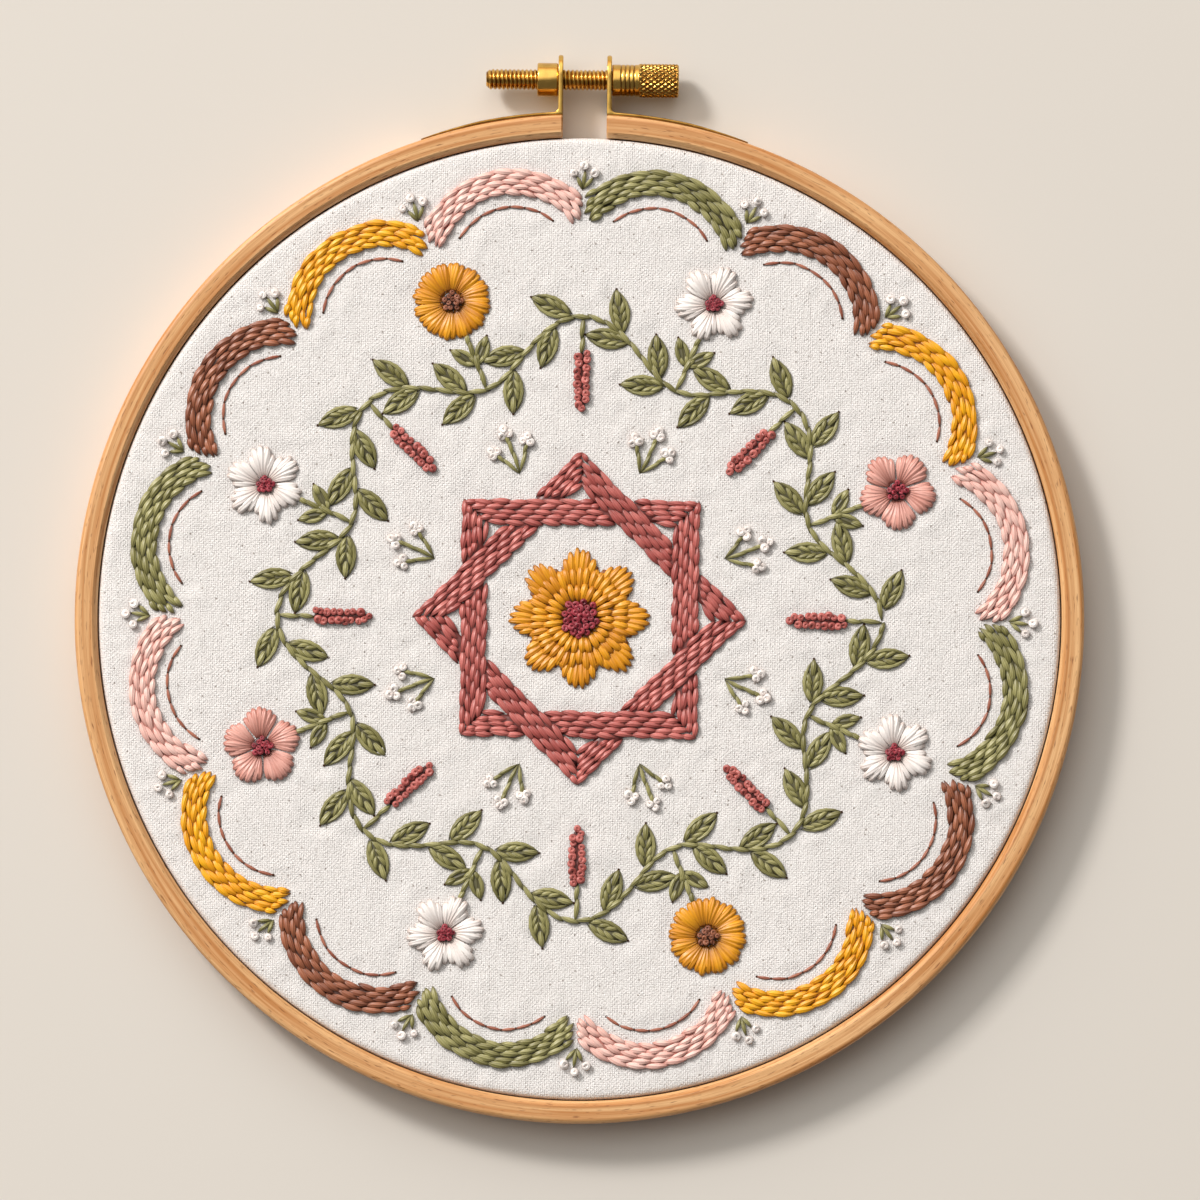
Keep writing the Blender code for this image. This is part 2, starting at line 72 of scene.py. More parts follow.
# ---- camera ----
# The hoop is seen from almost straight above, a little from below its lower edge, through a long lens. The
# picture is square, and the outer ring's width in it gives the scale. The hoop lies turned a little
# clockwise, so that its clamp is right of the middle.

PICTURE_PX = 1200
RING_WIDTH_PX = 1010
HOOP_CENTRE_PX = (579.5, 618.5)
CAMERA_ELEVATION = math.radians(88)
CAMERA_ROLL = math.radians(0.6)
CAMERA_DISTANCE = 4000

low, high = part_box("outer_hoop")
OUTER_R = (high.x - low.x) / 2 / MM
RING_TOP = high.z / MM
HOOP_Y = low.y / MM + OUTER_R

mm_per_px = 2 * OUTER_R / RING_WIDTH_PX
back = Vector((0, -math.cos(CAMERA_ELEVATION), math.sin(CAMERA_ELEVATION)))
facing = (-back).to_track_quat("-Z", "Y") @ Quaternion((0, 0, 1), CAMERA_ROLL)
aim = Vector((0, HOOP_Y, RING_TOP))
aim += facing @ Vector((1, 0, 0)) * (PICTURE_PX / 2 - HOOP_CENTRE_PX[0]) * mm_per_px
aim += facing @ Vector((0, 1, 0)) * (HOOP_CENTRE_PX[1] - PICTURE_PX / 2) * mm_per_px
camera = bpy.data.objects.new("camera", bpy.data.cameras.new("camera"))
camera.location = (aim + back * CAMERA_DISTANCE) * MM
camera.rotation_mode = "QUATERNION"
camera.rotation_quaternion = facing
camera.data.lens = camera.data.sensor_width * CAMERA_DISTANCE / (PICTURE_PX * mm_per_px)
bpy.context.scene.collection.objects.link(camera)
bpy.context.scene.camera = camera


# ---- inner ring ----
# A plain ring of steam-bent beech, hidden under the cloth from the front and bare at the back. Beech is pale
# and warm, with long faint growth bands round the ring and short brown flecks, and it is sanded and waxed.

WELD = 0.0005


def linear(hex_colour):
    """An sRGB hex colour as the linear red, green, blue and alpha that a shader takes."""
    channels = [int(hex_colour[i : i + 2], 16) / 255 for i in (0, 2, 4)]
    return [c / 12.92 if c <= 0.04045 else ((c + 0.055) / 1.055) ** 2.4 for c in channels] + [1]


def set_inputs(finish, node, sockets):
    """Gives a shader node's inputs their values: numbers, hex colours, or other nodes' outputs."""
    for name, value in sockets.items():
        if isinstance(value, bpy.types.NodeSocket):
            finish.node_tree.links.new(value, node.inputs[name])
        else:
            node.inputs[name].default_value = linear(value) if isinstance(value, str) else value


def add_node(finish, kind, sockets, **settings):
    """Adds a shader node with its settings and inputs, and gives its outputs. The inputs of a Mix node share
    their names, so they go by number: 0 is the factor, 2 and 3 are two numbers and 6 and 7 two colours."""
    node = finish.node_tree.nodes.new("ShaderNode" + kind)
    for name, value in settings.items():
        setattr(node, name, value)
    set_inputs(finish, node, sockets)
    return node.outputs


def new_finish(name, sockets):
    """A material with Blender's plain shader, whose inputs get these values, and that shader."""
    finish = bpy.data.materials.new(name)
    finish.use_nodes = True
    shader = finish.node_tree.nodes["Principled BSDF"]
    set_inputs(finish, shader, sockets)
    return finish, shader


def add_piece(name, points, finish, slot, nodes=(), uv=None, body="frame", sharp=50, **shades):
    """Makes a piece of grids of points, in millimetres, and welds it where the edges of grids meet.

    points has the shape (grids, rows, columns, 3), and uv the same with 2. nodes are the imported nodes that
    the piece stands for. Faces that meet at more than sharp degrees show an edge. shades are named values
    for each point, for the material to read."""
    grids, rows, columns = points.shape[:3]
    number = np.arange(grids * rows * columns).reshape(grids, rows, columns)
    corners = (number[:, :-1, :-1], number[:, :-1, 1:], number[:, 1:, 1:], number[:, 1:, :-1])
    quads = np.stack(corners, -1).reshape(-1, 4).astype(np.int32)
    mesh = bpy.data.meshes.new(name)
    mesh.vertices.add(number.size)
    placed = (points.reshape(-1, 3) + (0, HOOP_Y, 0)) * MM
    mesh.vertices.foreach_set("co", placed.astype(np.float32).ravel())
    mesh.loops.add(quads.size)
    mesh.loops.foreach_set("vertex_index", quads.ravel())
    mesh.polygons.add(len(quads))
    mesh.polygons.foreach_set("loop_start", np.arange(0, quads.size, 4, dtype=np.int32))
    mesh.update(calc_edges=True)
    if uv is not None:
        corner_uv = uv.reshape(-1, 2)[quads.ravel()].astype(np.float32)
        mesh.uv_layers.new(name="along").data.foreach_set("uv", corner_uv.ravel())
    for shade, values in shades.items():
        values = np.broadcast_to(values, number.shape).astype(np.float32)
        mesh.attributes.new(shade, "FLOAT", "POINT").data.foreach_set("value", values.ravel())
    welded = bmesh.new()
    welded.from_mesh(mesh)
    bmesh.ops.remove_doubles(welded, verts=welded.verts, dist=WELD * MM)
    bmesh.ops.recalc_face_normals(welded, faces=welded.faces)
    welded.to_mesh(mesh)
    welded.free()
    mesh.shade_smooth()
    mesh.set_sharp_from_angle(angle=math.radians(sharp))
    mesh.materials.append(finish)
    piece = bpy.data.objects.new(name, mesh)
    bpy.context.scene.collection.objects.link(piece)
    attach(piece, body)
    if nodes:
        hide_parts(*nodes)
    return piece


# One row for each kind of streak in beech, growth bands, fibres and flecks: its length along the ring and its
# width in millimetres, and how broken and how bent its edges are.
STREAKS = ((55, 1.1, 4, 0.5), (9, 0.22, 2, 0), (2.6, 0.36, 1, 0))

# The wax gives the sanded surface a low sheen.
beech, beech_shader = new_finish("waxed_beech", {"Coat Weight": 0.15, "Coat Roughness": 0.3})
grain = add_node(beech, "UVMap", {}, uv_map="along")[0]
streaks = []
for length, width, detail, bent in STREAKS:
    place = add_node(beech, "Mapping", {"Vector": grain, "Scale": (1 / length, 1 / width, 1)})[0]
    noise = {"Vector": place, "Scale": 1, "Detail": detail, "Distortion": bent}
    streaks.append(add_node(beech, "TexNoise", noise)[0])
bands, fibres, fleck_noise = streaks
fleck_range = {"Value": fleck_noise, "From Min": 0.62, "From Max": 0.74, "To Max": 0.8}
flecks = add_node(beech, "MapRange", fleck_range)[0]
band_share = add_node(beech, "MapRange", {"Value": bands, "From Min": 0.36, "From Max": 0.64})[0]
banded = add_node(beech, "Mix", {0: band_share, 6: "C08043", 7: "E9BB84"}, data_type="RGBA")[2]
fibre_range = {"Value": fibres, "From Min": 0.42, "From Max": 0.72, "To Max": 0.5}
fibre_share = add_node(beech, "MapRange", fibre_range)[0]
fibred = add_node(beech, "Mix", {0: fibre_share, 6: banded, 7: "B97A40"}, data_type="RGBA")[2]
flecked = add_node(beech, "Mix", {0: flecks, 6: fibred, 7: "8A5223"}, data_type="RGBA")[2]
waxed = add_node(beech, "MapRange", {"Value": fibres, "To Min": 0.36, "To Max": 0.6})[0]
fibre_relief = add_node(beech, "Bump", {"Height": fibres, "Strength": 0.4, "Distance": 0.06 * MM})[0]
fleck_dents = {"Height": flecks, "Strength": 0.3, "Distance": 0.05 * MM, "Normal": fibre_relief}
fleck_relief = add_node(beech, "Bump", fleck_dents, invert=True)[0]
set_inputs(beech, beech_shader, {"Base Color": flecked, "Roughness": waxed, "Normal": fleck_relief})


def around(r, angle, centre=(0, 0)):
    """Points at distance r and an angle from a centre, which is the rings' own unless another is given."""
    return np.stack([centre[0] + r * np.cos(angle), centre[1] + r * np.sin(angle)], -1)


def left_of(ahead):
    """Directions in the plane, turned a quarter to the left."""
    return np.stack([-ahead[:, 1], ahead[:, 0]], 1)


def raised(flat, z):
    """Points seen from above, given their heights."""
    return np.concatenate([flat, z[..., None]], -1)


def run_along(points):
    """How far along its row each point lies. points is (points, axes), or (rows, points, axes)."""
    steps = np.linalg.norm(np.diff(points, axis=-2), axis=-1)
    return np.concatenate([np.zeros(steps.shape[:-1] + (1,)), np.cumsum(steps, -1)], -1)


def eased_section(inner, outer, bottom, top, easing):
    """A ring's section as a closed row of (radius, z) points. Each of its corners, low outer, high outer,
    high inner and low inner, has a size and a power: the corner's curve is a cosine and a sine to that power,
    so 1 makes it round and 2 a flat chamfer. A point stands close before and after it."""
    close = 0.12
    arc = np.linspace(0, math.pi / 2, 7)
    places = ((outer, bottom, -1, 1), (outer, top, -1, -1), (inner, top, 1, -1), (inner, bottom, 1, 1))
    points = []
    for corner, ((r, z, to_r, to_z), (size, power)) in enumerate(zip(places, easing)):
        out = around(1, arc + (corner - 1) * math.pi / 2)
        curve = (r, z) + size * ((to_r, to_z) + np.sign(out) * abs(out) ** power)
        step = close * left_of(out)
        points += [curve[0] - step[0], *curve, curve[-1] + step[-1]]
    return np.array(points + points[:1])


def bent_ring(section, stations, half_gap=0):
    """Carries a section round the ring. With a gap, the angle runs from one cut face to the other, and each
    point starts where its radius meets the plane of the cut. There the section draws in for a small chamfer
    and then closes to its middle. Gives one grid and its uv, both in millimetres."""
    run = np.linspace(0, 1, stations)
    shrink = np.zeros(stations)
    if half_gap:
        chamfer, drawn_in = 0.0005, 0.08
        run = np.concatenate([[0, 0], chamfer + run * (1 - 2 * chamfer), [1, 1]])
        shrink = np.concatenate([[1, drawn_in], shrink, [drawn_in, 1]])
    middle = section[:-1].mean(0)
    r, z = (middle[i] + (section[None, :, i] - middle[i]) * (1 - shrink[:, None]) for i in (0, 1))
    cut = np.arcsin(half_gap / r)
    angle = math.pi / 2 + cut + run[:, None] * (TURN - 2 * cut)
    uv = np.stack([angle * middle[0], np.broadcast_to(run_along(section), angle.shape)], -1)
    return raised(around(r, angle), z)[None], uv[None]


low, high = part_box("inner_hoop")
INNER_RING_R = (high.x - low.x) / 2 / MM
INNER_RING_WIDTH = 5
INNER_RING_TOP = high.z / MM
easing = ((0.3, 1), (0.7, 1), (0.7, 1), (0.3, 1))
section = eased_section(INNER_RING_R - INNER_RING_WIDTH, INNER_RING_R, 0, INNER_RING_TOP, easing)
points, uv = bent_ring(section, stations=241)
add_piece("inner_ring", points, beech, "pale_wood", ["inner_hoop"], uv)


# ---- cloth ----
# A disc of plain-woven white cotton, laid over the inner ring and pressed down between the rings, where it is
# trimmed. It is drum-tight, matt and off-white, with uneven threads and a few specks of cotton seed.

low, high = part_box("cloth")
CLOTH_R = (high.x - low.x) / 2 / MM
CLOTH_TOP = high.z / MM
CLOTH_HEM = low.z / MM
CLOTH_THICKNESS = 0.8
SHOULDER_R = 1.2
GRID_STEPS = 200
FLAT_SHARE = 0.93
SHOULDER_SHARE = 0.96
RIM_CREASE = 0.07
CREASE_REACH = 5
CREASE_WAVES = ((97, 0), (134, 2), (171, 4), (211, 1))  # waves in a turn, and where they start
HEM_SWELL = 0.28
WEAVE_PITCH = 0.45

flat_r = CLOTH_R - SHOULDER_R
turn_end = flat_r + SHOULDER_R * math.pi / 2
hem_end = turn_end + CLOTH_TOP - SHOULDER_R - CLOTH_HEM


def cloth_surface():
    """A square grid wrapped into a disc: a square of side 2a becomes the circle of radius a, so that the
    points are evenly spread. Distance from the middle then runs over the flat top, round the shoulder and
    down, where a sine swells the hem against the outer ring. Near the shoulder, waves of several lengths make
    the faint creases that the pull of the rings leaves."""
    side = np.linspace(-1, 1, GRID_STEPS + 1)
    a, b = np.meshgrid(side, side, indexing="ij")
    reach = np.maximum(abs(a), abs(b))
    steep = abs(a) < abs(b)
    ratio = np.where(steep, a, b) / np.where(reach == 0, 1, np.where(steep, b, a))
    angle = np.where(steep, math.pi / 2 - ratio * math.pi / 4, ratio * math.pi / 4)
    angle += np.where(np.where(steep, b, a) < 0, math.pi, 0)
    run = np.interp(reach, (0, FLAT_SHARE, SHOULDER_SHARE, 1), (0, flat_r, turn_end, hem_end))
    turn = np.clip((run - flat_r) / SHOULDER_R, 0, math.pi / 2)
    r = np.minimum(run, flat_r) + SHOULDER_R * np.sin(turn)
    r += HEM_SWELL * np.sin(math.pi * np.clip((run - turn_end) / (hem_end - turn_end), 0, 1))
    z = CLOTH_TOP - SHOULDER_R * (1 - np.cos(turn)) - np.maximum(run - turn_end, 0)
    waves = sum(np.sin(angle * count + start) for count, start in CREASE_WAVES)
    near_rim = np.exp(-(((run - flat_r) / CREASE_REACH) ** 2)) * (run < turn_end)
    z -= RIM_CREASE * (1 + waves / len(CREASE_WAVES)) * near_rim
    return raised(around(r, angle), z)[None]


# Cotton sheeting has a thread every 0.3 mm. Here they lie WEAVE_PITCH apart, coarser than real, so that the
# weave shows.
matt = {"Roughness": 0.9, "Sheen Weight": 0.1, "Specular IOR Level": 0.2}
cotton, cotton_shader = new_finish("plain_woven_cotton", matt)
place = add_node(cotton, "TexCoord", {})["Object"]
wander = add_node(cotton, "TexNoise", {"Vector": place, "Scale": 1 / (5 * MM), "Detail": 1})["Color"]
strayed = {0: wander, 1: (0.5 * MM, 0.5 * MM, 0), 2: place}
wandered = add_node(cotton, "VectorMath", strayed, operation="MULTIPLY_ADD")[0]
half_turns = {0: wandered, "Scale": math.pi / (WEAVE_PITCH * MM)}
threads = add_node(cotton, "VectorMath", half_turns, operation="SCALE")[0]
sides = add_node(cotton, "SeparateXYZ", {"Vector": threads})
# Over and under: the product of two sines changes sign from one crossing to the next. The weft lies lower.
warp, weft = (add_node(cotton, "Math", {0: sides[i]}, operation="SINE")[0] for i in (0, 1))
crossing = add_node(cotton, "Math", {0: warp, 1: weft}, operation="MULTIPLY")[0]
warp_round, weft_round = (
    add_node(cotton, "Math", {0: sine}, operation="ABSOLUTE")[0] for sine in (warp, weft)
)
weft_low = add_node(cotton, "Math", {0: weft_round, 1: 0.5}, operation="MULTIPLY")[0]
over = add_node(cotton, "MapRange", {"Value": crossing, "From Min": -0.2, "From Max": 0.2})[0]
weave = add_node(cotton, "Mix", {0: over, 2: warp_round, 3: weft_low}, data_type="FLOAT")[0]
fibre_noise = add_node(cotton, "TexNoise", {"Vector": place, "Scale": 1 / (0.35 * MM), "Detail": 2})[0]
fuzz = add_node(cotton, "MapRange", {"Value": fibre_noise, "From Min": 0.3, "From Max": 0.7})[0]
fuzzy_weave = add_node(cotton, "Mix", {0: 0.45, 2: weave, 3: fuzz}, data_type="FLOAT")[0]
slub_sizes = (1 / (0.45 * MM), 1 / (5 * MM), 1)
slub_place = add_node(cotton, "Mapping", {"Vector": place, "Scale": slub_sizes})[0]
slub_noise = add_node(cotton, "TexNoise", {"Vector": slub_place, "Scale": 1, "Detail": 2})[0]
slubs = add_node(cotton, "MapRange", {"Value": slub_noise, "From Min": 0.35, "From Max": 0.65})[0]
toned = add_node(cotton, "Mix", {0: slubs, 6: "F4F2F1", 7: "F7F6F5"}, data_type="RGBA")[2]
# Painted shade: where the weave lies low, the colour darkens towards a grey brown.
weave_hollow_shade_range = {"Value": fuzzy_weave, "From Max": 0.5, "To Min": 0.5, "To Max": 0}
weave_hollow_shade = add_node(cotton, "MapRange", weave_hollow_shade_range)[0]
woven = add_node(cotton, "Mix", {0: weave_hollow_shade, 6: toned, 7: "B4AAA3"}, data_type="RGBA")[2]
# Specks of seed are a quarter to a third of a millimetre across. Only a share of the cells has one.
cell_place = {"Vector": wandered, "Scale": 1 / (2.6 * MM)}
cells = add_node(cotton, "TexVoronoi", cell_place, voronoi_dimensions="2D")
seed_range = {"Value": cells["Distance"], "From Min": 0.05, "From Max": 0.1, "To Min": 0.7, "To Max": 0}
seed_dots = add_node(cotton, "MapRange", seed_range)[0]
lot = add_node(cotton, "SeparateXYZ", {"Vector": cells["Color"]})["X"]
chosen_range = {"Value": lot, "From Min": 0.15, "From Max": 0.35, "To Min": 1, "To Max": 0}
chosen = add_node(cotton, "MapRange", chosen_range)[0]
seed_share = add_node(cotton, "Math", {0: seed_dots, 1: chosen}, operation="MULTIPLY")[0]
speckled = add_node(cotton, "Mix", {0: seed_share, 6: woven, 7: "7A6A5E"}, data_type="RGBA")[2]
thick_and_thin = add_node(cotton, "Math", {0: slubs, 1: 0.15, 2: fuzzy_weave}, operation="MULTIPLY_ADD")[0]
relief = add_node(cotton, "Bump", {"Height": thick_and_thin, "Strength": 1, "Distance": 0.21 * MM})[0]
set_inputs(cotton, cotton_shader, {"Base Color": speckled, "Normal": relief})

cloth = add_piece("cotton_cloth", cloth_surface(), cotton, "white_cloth", ["cloth"], sharp=180)
solidify = cloth.modifiers.new("thickness", "SOLIDIFY")
solidify.thickness = CLOTH_THICKNESS * MM
solidify.offset = -1


# ---- star ----
# Two interlaced squares in dusty rose. Each side is five rows of short slanting stitches that overlap like
# scales. The thread is six-strand cotton floss: mercerised, so satiny, with the strands showing as fine ribs.

FLOSS_WIDTH = 1.38
FLOSS_HEIGHT = 1.05
BAND_ROWS = 5
BAND_PITCH = 3.7
STITCH_OVERLAP = 1.9
SHORTEST_STITCH = 2.6
ROW_SHIFTS = (0, 2.0, 0.7, 2.9, 1.4)
ROW_SLANTS = (0.28, -0.2, 0.24, -0.24, 0.2)
STRAY_ALONG = 0.16
STRAY_ACROSS = 0.07
STRAY_SLANT = 0.12
STITCH_SUNK = 0.15
STITCH_LOFT = 0.3
PADDING_SUNK = 0.1
PADDING_RISE = 0.22
PADDING_HALF_HEIGHT = 0.2
PADDING_SHADE = 0.75

rng = np.random.default_rng(11)
floss_colours = {}
sewn = []
reverse_runs = {}
hole_places = []


def floss_finish(name, light, dark, ends, twist=0.2, slot=None):
    """Six-strand cotton floss. The strands twist slowly along the stitch, with painted light and shade along
    the twist. Each stitch has its own tint between light and dark, and the third colour is painted shade,
    mixed in at the stitch's ends and flanks, where its neighbours would shade it."""
    satiny = {"Roughness": 0.39, "Sheen Weight": 0.04, "Specular IOR Level": 0.7}
    finish, shader = new_finish("floss_" + name, satiny)
    place = add_node(finish, "UVMap", {}, uv_map="along")[0]
    tint = add_node(finish, "Attribute", {}, attribute_name="tint")["Fac"]
    depth = add_node(finish, "Attribute", {}, attribute_name="depth")["Fac"]
    stretched = add_node(finish, "Mapping", {"Vector": place, "Scale": (0.35, 30, 1)})[0]
    hairs = add_node(finish, "TexNoise", {"Vector": stretched, "Scale": 1, "Detail": 2})[0]
    twisted = add_node(finish, "Mapping", {"Vector": place, "Scale": (1.1, 7 * TURN, 1)})[0]
    lean = add_node(finish, "VectorMath", {0: twisted, 1: (1, 1, 0)}, operation="DOT_PRODUCT")["Value"]
    strands = add_node(finish, "Math", {0: lean}, operation="SINE")[0]
    # The strands' sine also lightens and darkens the colour: painted light and shade along each twisted
    # strand.
    strand_range = {"Value": strands, "From Min": -1, "To Min": -twist, "To Max": twist}
    painted_strand_shading = add_node(finish, "MapRange", strand_range)[0]
    tinted = add_node(finish, "Math", {0: tint, 1: painted_strand_shading}, operation="ADD", use_clamp=True)[0]
    toned = add_node(finish, "Mix", {0: tinted, 6: dark, 7: light}, data_type="RGBA")[2]
    # The third colour is painted shade: the depth value, high at a stitch's ends and flanks, mixes it in.
    with_painted_shade = add_node(finish, "Mix", {0: depth, 6: toned, 7: ends}, data_type="RGBA")[2]
    relief = add_node(finish, "Math", {0: hairs, 1: 0.8, 2: strands}, operation="MULTIPLY_ADD")[0]
    ribbed = add_node(finish, "Bump", {"Height": relief, "Strength": 0.6, "Distance": 0.055 * MM})[0]
    set_inputs(finish, shader, {"Base Color": with_painted_shade, "Normal": ribbed})
    floss_colours[name] = finish, (slot or name) + "_thread"


# The rose pink and the mustard are worked in two shades: deeper petals, and paler bands.
# The third colour of each floss is painted shade, for the ends and flanks of its stitches.
floss_finish("dusty_rose", "CF736B", "A44A45", "450E09")
floss_finish("rose_pink", "F0B6A9", "D29082", "8C3E30")
floss_finish("pale_rose", "FAD5CB", "EFBAAE", "B96E62", slot="rose_pink")
floss_finish("mustard", "F4A90E", "D08300", "703400")
floss_finish("gold", "FFBD08", "F0A000", "944B00", slot="mustard")
floss_finish("chestnut", "AE6B4B", "7C4229", "2A0B04")
floss_finish("sage", "A9A56C", "736F3A", "282309", twist=0.3)
floss_finish("burgundy", "B53A4A", "842131", "33050A")
floss_finish("white", "FBF7F4", "F2EAE6", "BFA397")
floss_finish("terracotta", "BF7A60", "965039", "4E2014", slot="chestnut")

# A stitch's section has few points underneath, and over its top a strand's ridge and a furrow in turn. Its
# flanks get painted shade up to a third of its height.
AROUND = np.radians([-90, -28, 2, 31, 60.5, 90, 119.5, 149, 178, 208, 270])
RIBS = 1 + 0.085 * np.array([0, 1, -1, 1, -1, 1, -1, 1, -1, 1, 0])
FLANK_SHADE = 0.97 * np.clip((0.32 - np.sin(AROUND)) / 0.6, 0, 1)


def unit(vectors):
    """Vectors of length 1 in the same directions."""
    return vectors / np.linalg.norm(vectors, axis=-1, keepdims=True)


def bundles(paths, half_width, half_height, more_painted_shade=0):
    """Carries an oval section with a rib for each strand along each of many paths.

    paths is (stitches, stations, 3), and the half sizes are (stitches, stations), 0 at both ends, where the
    section closes in a point. The oval stands upright: one axis is level, and square to the path. Ends and
    flanks get painted shade, as if in their neighbours' shadow, and more_painted_shade adds to that."""
    ahead = unit(np.gradient(paths, axis=1))
    across = unit(np.cross(ahead, (0, 0, 1)))
    above = np.cross(across, ahead)
    wide = (half_width[..., None] * np.cos(AROUND) * RIBS)[..., None] * across[:, :, None]
    tall = (half_height[..., None] * np.sin(AROUND) * RIBS)[..., None] * above[:, :, None]
    run = run_along(paths)[..., None]
    shape = wide.shape[:3]
    uv = np.stack([np.broadcast_to(run, shape), np.broadcast_to(AROUND / TURN, shape)], -1)
    fullness = half_width / half_width.max(1, keepdims=True)
    # depth is painted shade: darker towards the ends, on the flanks, and where more is asked for.
    depth = np.clip((1 - fullness[..., None]) ** 1.05 + FLANK_SHADE + more_painted_shade, 0, 1)
    tint = np.broadcast_to(rng.uniform(0.1, 0.9, (len(paths), 1, 1)), shape)
    return paths[:, :, None] + wide + tall, uv, tint, depth


# Where a stitch is drawn along its length, closer together near its ends.
STATIONS = np.array([0, 0.045, 0.14, 0.3, 0.5, 0.7, 0.86, 0.955, 1])


def swell(t, blunt):
    """How full a thread is at the share t of its length: half a sine's wave to the power blunt."""
    return np.clip(np.sin(math.pi * t), 0, 1) ** blunt


def stitches(starts, ends, width, height, bow=0, lift=0, climb=0, widest=0.5, blunt=0.7):
    """Stitches from start to end, both (stitches, 2). The middle line is a parabola that bows to the left,
    and it arches out of the cloth at both ends. lift raises its middle, and climb its far end. The width
    swells, with its top at the share widest."""
    t = STATIONS[None, :]
    count = len(starts)
    sizes = (width, height, bow, lift, climb)
    width, height, bow, lift, climb = (np.broadcast_to(size, count)[:, None] for size in sizes)
    run = ends - starts
    bowed = unit(left_of(run))[:, None] * (bow * 4 * t * (1 - t))[..., None]
    flat = starts[:, None] + run[:, None] * t[..., None] + bowed
    full = swell(t ** (math.log(0.5) / math.log(widest)), blunt)
    z = CLOTH_TOP - STITCH_SUNK + (STITCH_LOFT * height + lift) * full + climb * t * full
    sewn.append((starts, ends))
    return bundles(raised(flat, z), width / 2 * full, height / 2 * full)


def padding(lines, width):
    """Long low stitches laid first, under the rest, darkened with painted shade so that the gaps between the
    stitches above look dark. lines is (lines, points, 2), with as many points as the stitches of its group
    have."""
    t = np.linspace(0, 1, lines.shape[1])
    full = np.broadcast_to(swell(t, 0.25), lines.shape[:2])
    paths = raised(lines, CLOTH_TOP - PADDING_SUNK + PADDING_RISE * full)
    return bundles(paths, width / 2 * full, PADDING_HALF_HEIGHT * full, more_painted_shade=PADDING_SHADE)


def add_floss(name, groups, colour, nodes=()):
    """Joins groups of stitches into a piece, and notes where they go through the cloth."""
    points, uv, tint, depth = [np.concatenate(parts) for parts in zip(*groups)]
    finish, slot = floss_colours[colour]
    add_piece(name, points, finish, slot, nodes, uv, sharp=180, tint=tint, depth=depth)
    reverse_runs.setdefault(colour, []).extend(sewn)
    sewn.clear()


def banding(reaches, lay, bow=0):
    """Rows of stitches that overlap, and slant one way and the other in turn. reaches gives (row, near, far)
    for each run of a row, in millimetres, and lay turns distances along the band and offsets across it into
    points."""
    starts, ends = [], []
    for row, near, far in reaches:
        mark = np.arange(near - ROW_SHIFTS[row], far, BAND_PITCH)
        inside = np.minimum(mark + BAND_PITCH + STITCH_OVERLAP, far) - np.maximum(mark, near)
        mark = mark[inside > SHORTEST_STITCH]
        count = len(mark)
        start, end = mark + rng.normal(0, STRAY_ALONG, count), mark + BAND_PITCH + STITCH_OVERLAP
        start[0], end[-1] = near, far
        slant = rng.normal(ROW_SLANTS[row], STRAY_SLANT, count)
        offset = ROW_OFFSETS[row] + rng.normal(0, STRAY_ACROSS, count)
        starts.append(lay(start, offset - slant))
        ends.append(lay(np.minimum(end + rng.normal(0, STRAY_ALONG, count), far), offset + slant))
    starts, ends = np.concatenate(starts), np.concatenate(ends)
    count = len(starts)
    width = FLOSS_WIDTH * rng.uniform(0.88, 1.1, count)
    bow = bow + rng.normal(0, 0.08, count)
    lift = rng.uniform(0.06, 0.2, count)
    shape = {"bow": bow, "lift": lift, "climb": 0.38, "widest": 0.42, "blunt": 0.95}
    return stitches(starts, ends, width, FLOSS_HEIGHT, **shape)


BAND_WIDTH = 5.4
low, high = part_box("star")
STAR_HALF_SIDE = (high.x - low.x) / 2 / MM / math.sqrt(2) - BAND_WIDTH / 2
CROSSING_GAP = 0.1
MITRE_OVERLAP = 0.5
ROW_OFFSETS = (np.arange(BAND_ROWS) - (BAND_ROWS - 1) / 2) * BAND_WIDTH / BAND_ROWS


def star_side(turn):
    """One side of a square, which faces the angle turn. The other square crosses it at 45 degrees near both
    ends. This side goes over it at the far crossing, and stops short on both sides of the near one. Corners
    are mitred."""

    def lay(along, across):
        x, y = STAR_HALF_SIDE + across, along
        return np.stack([x * math.cos(turn) - y * math.sin(turn), x * math.sin(turn) + y * math.cos(turn)], 1)

    cross = STAR_HALF_SIDE * math.tan(math.pi / 8)
    over = BAND_WIDTH / math.sqrt(2) + CROSSING_GAP
    reaches = []
    for row, offset in enumerate(ROW_OFFSETS):
        end = STAR_HALF_SIDE + offset + MITRE_OVERLAP
        near = offset - cross
        reaches += [(row, -end, near - over), (row, near + over, end)]
    under = lay(STAR_HALF_SIDE * (2 * STATIONS - 1), 0)[None]
    return [padding(under, BAND_WIDTH - 1), banding(reaches, lay)]


sides = [group for k in range(8) for group in star_side(TURN * k / 8)]
add_floss("star_banding", sides, "dusty_rose", ["star"])


# ---- rosette ----
# Eight petals of long and short stitches in mustard, in three tiers that overlap like a thatch, round an eye
# of burgundy knots.

PETAL_SWELL = 0.6


def petal_edge(petals, reach, notch, turn, angle):
    """How far the flower reaches at an angle: round petal ends at reach, which meet in notches."""
    share = ((angle - turn) / (TURN / petals)) % 1
    return notch + (reach - notch) * np.sin(math.pi * share) ** PETAL_SWELL


KNOT_STATIONS = 15
KNOT_TURNS = 1.35
KNOT_SEAT = 0.25
KNOT_CLIMB = 0.4
KNOT_TILT = 0.25
GOLDEN_SHARE = 0.381966


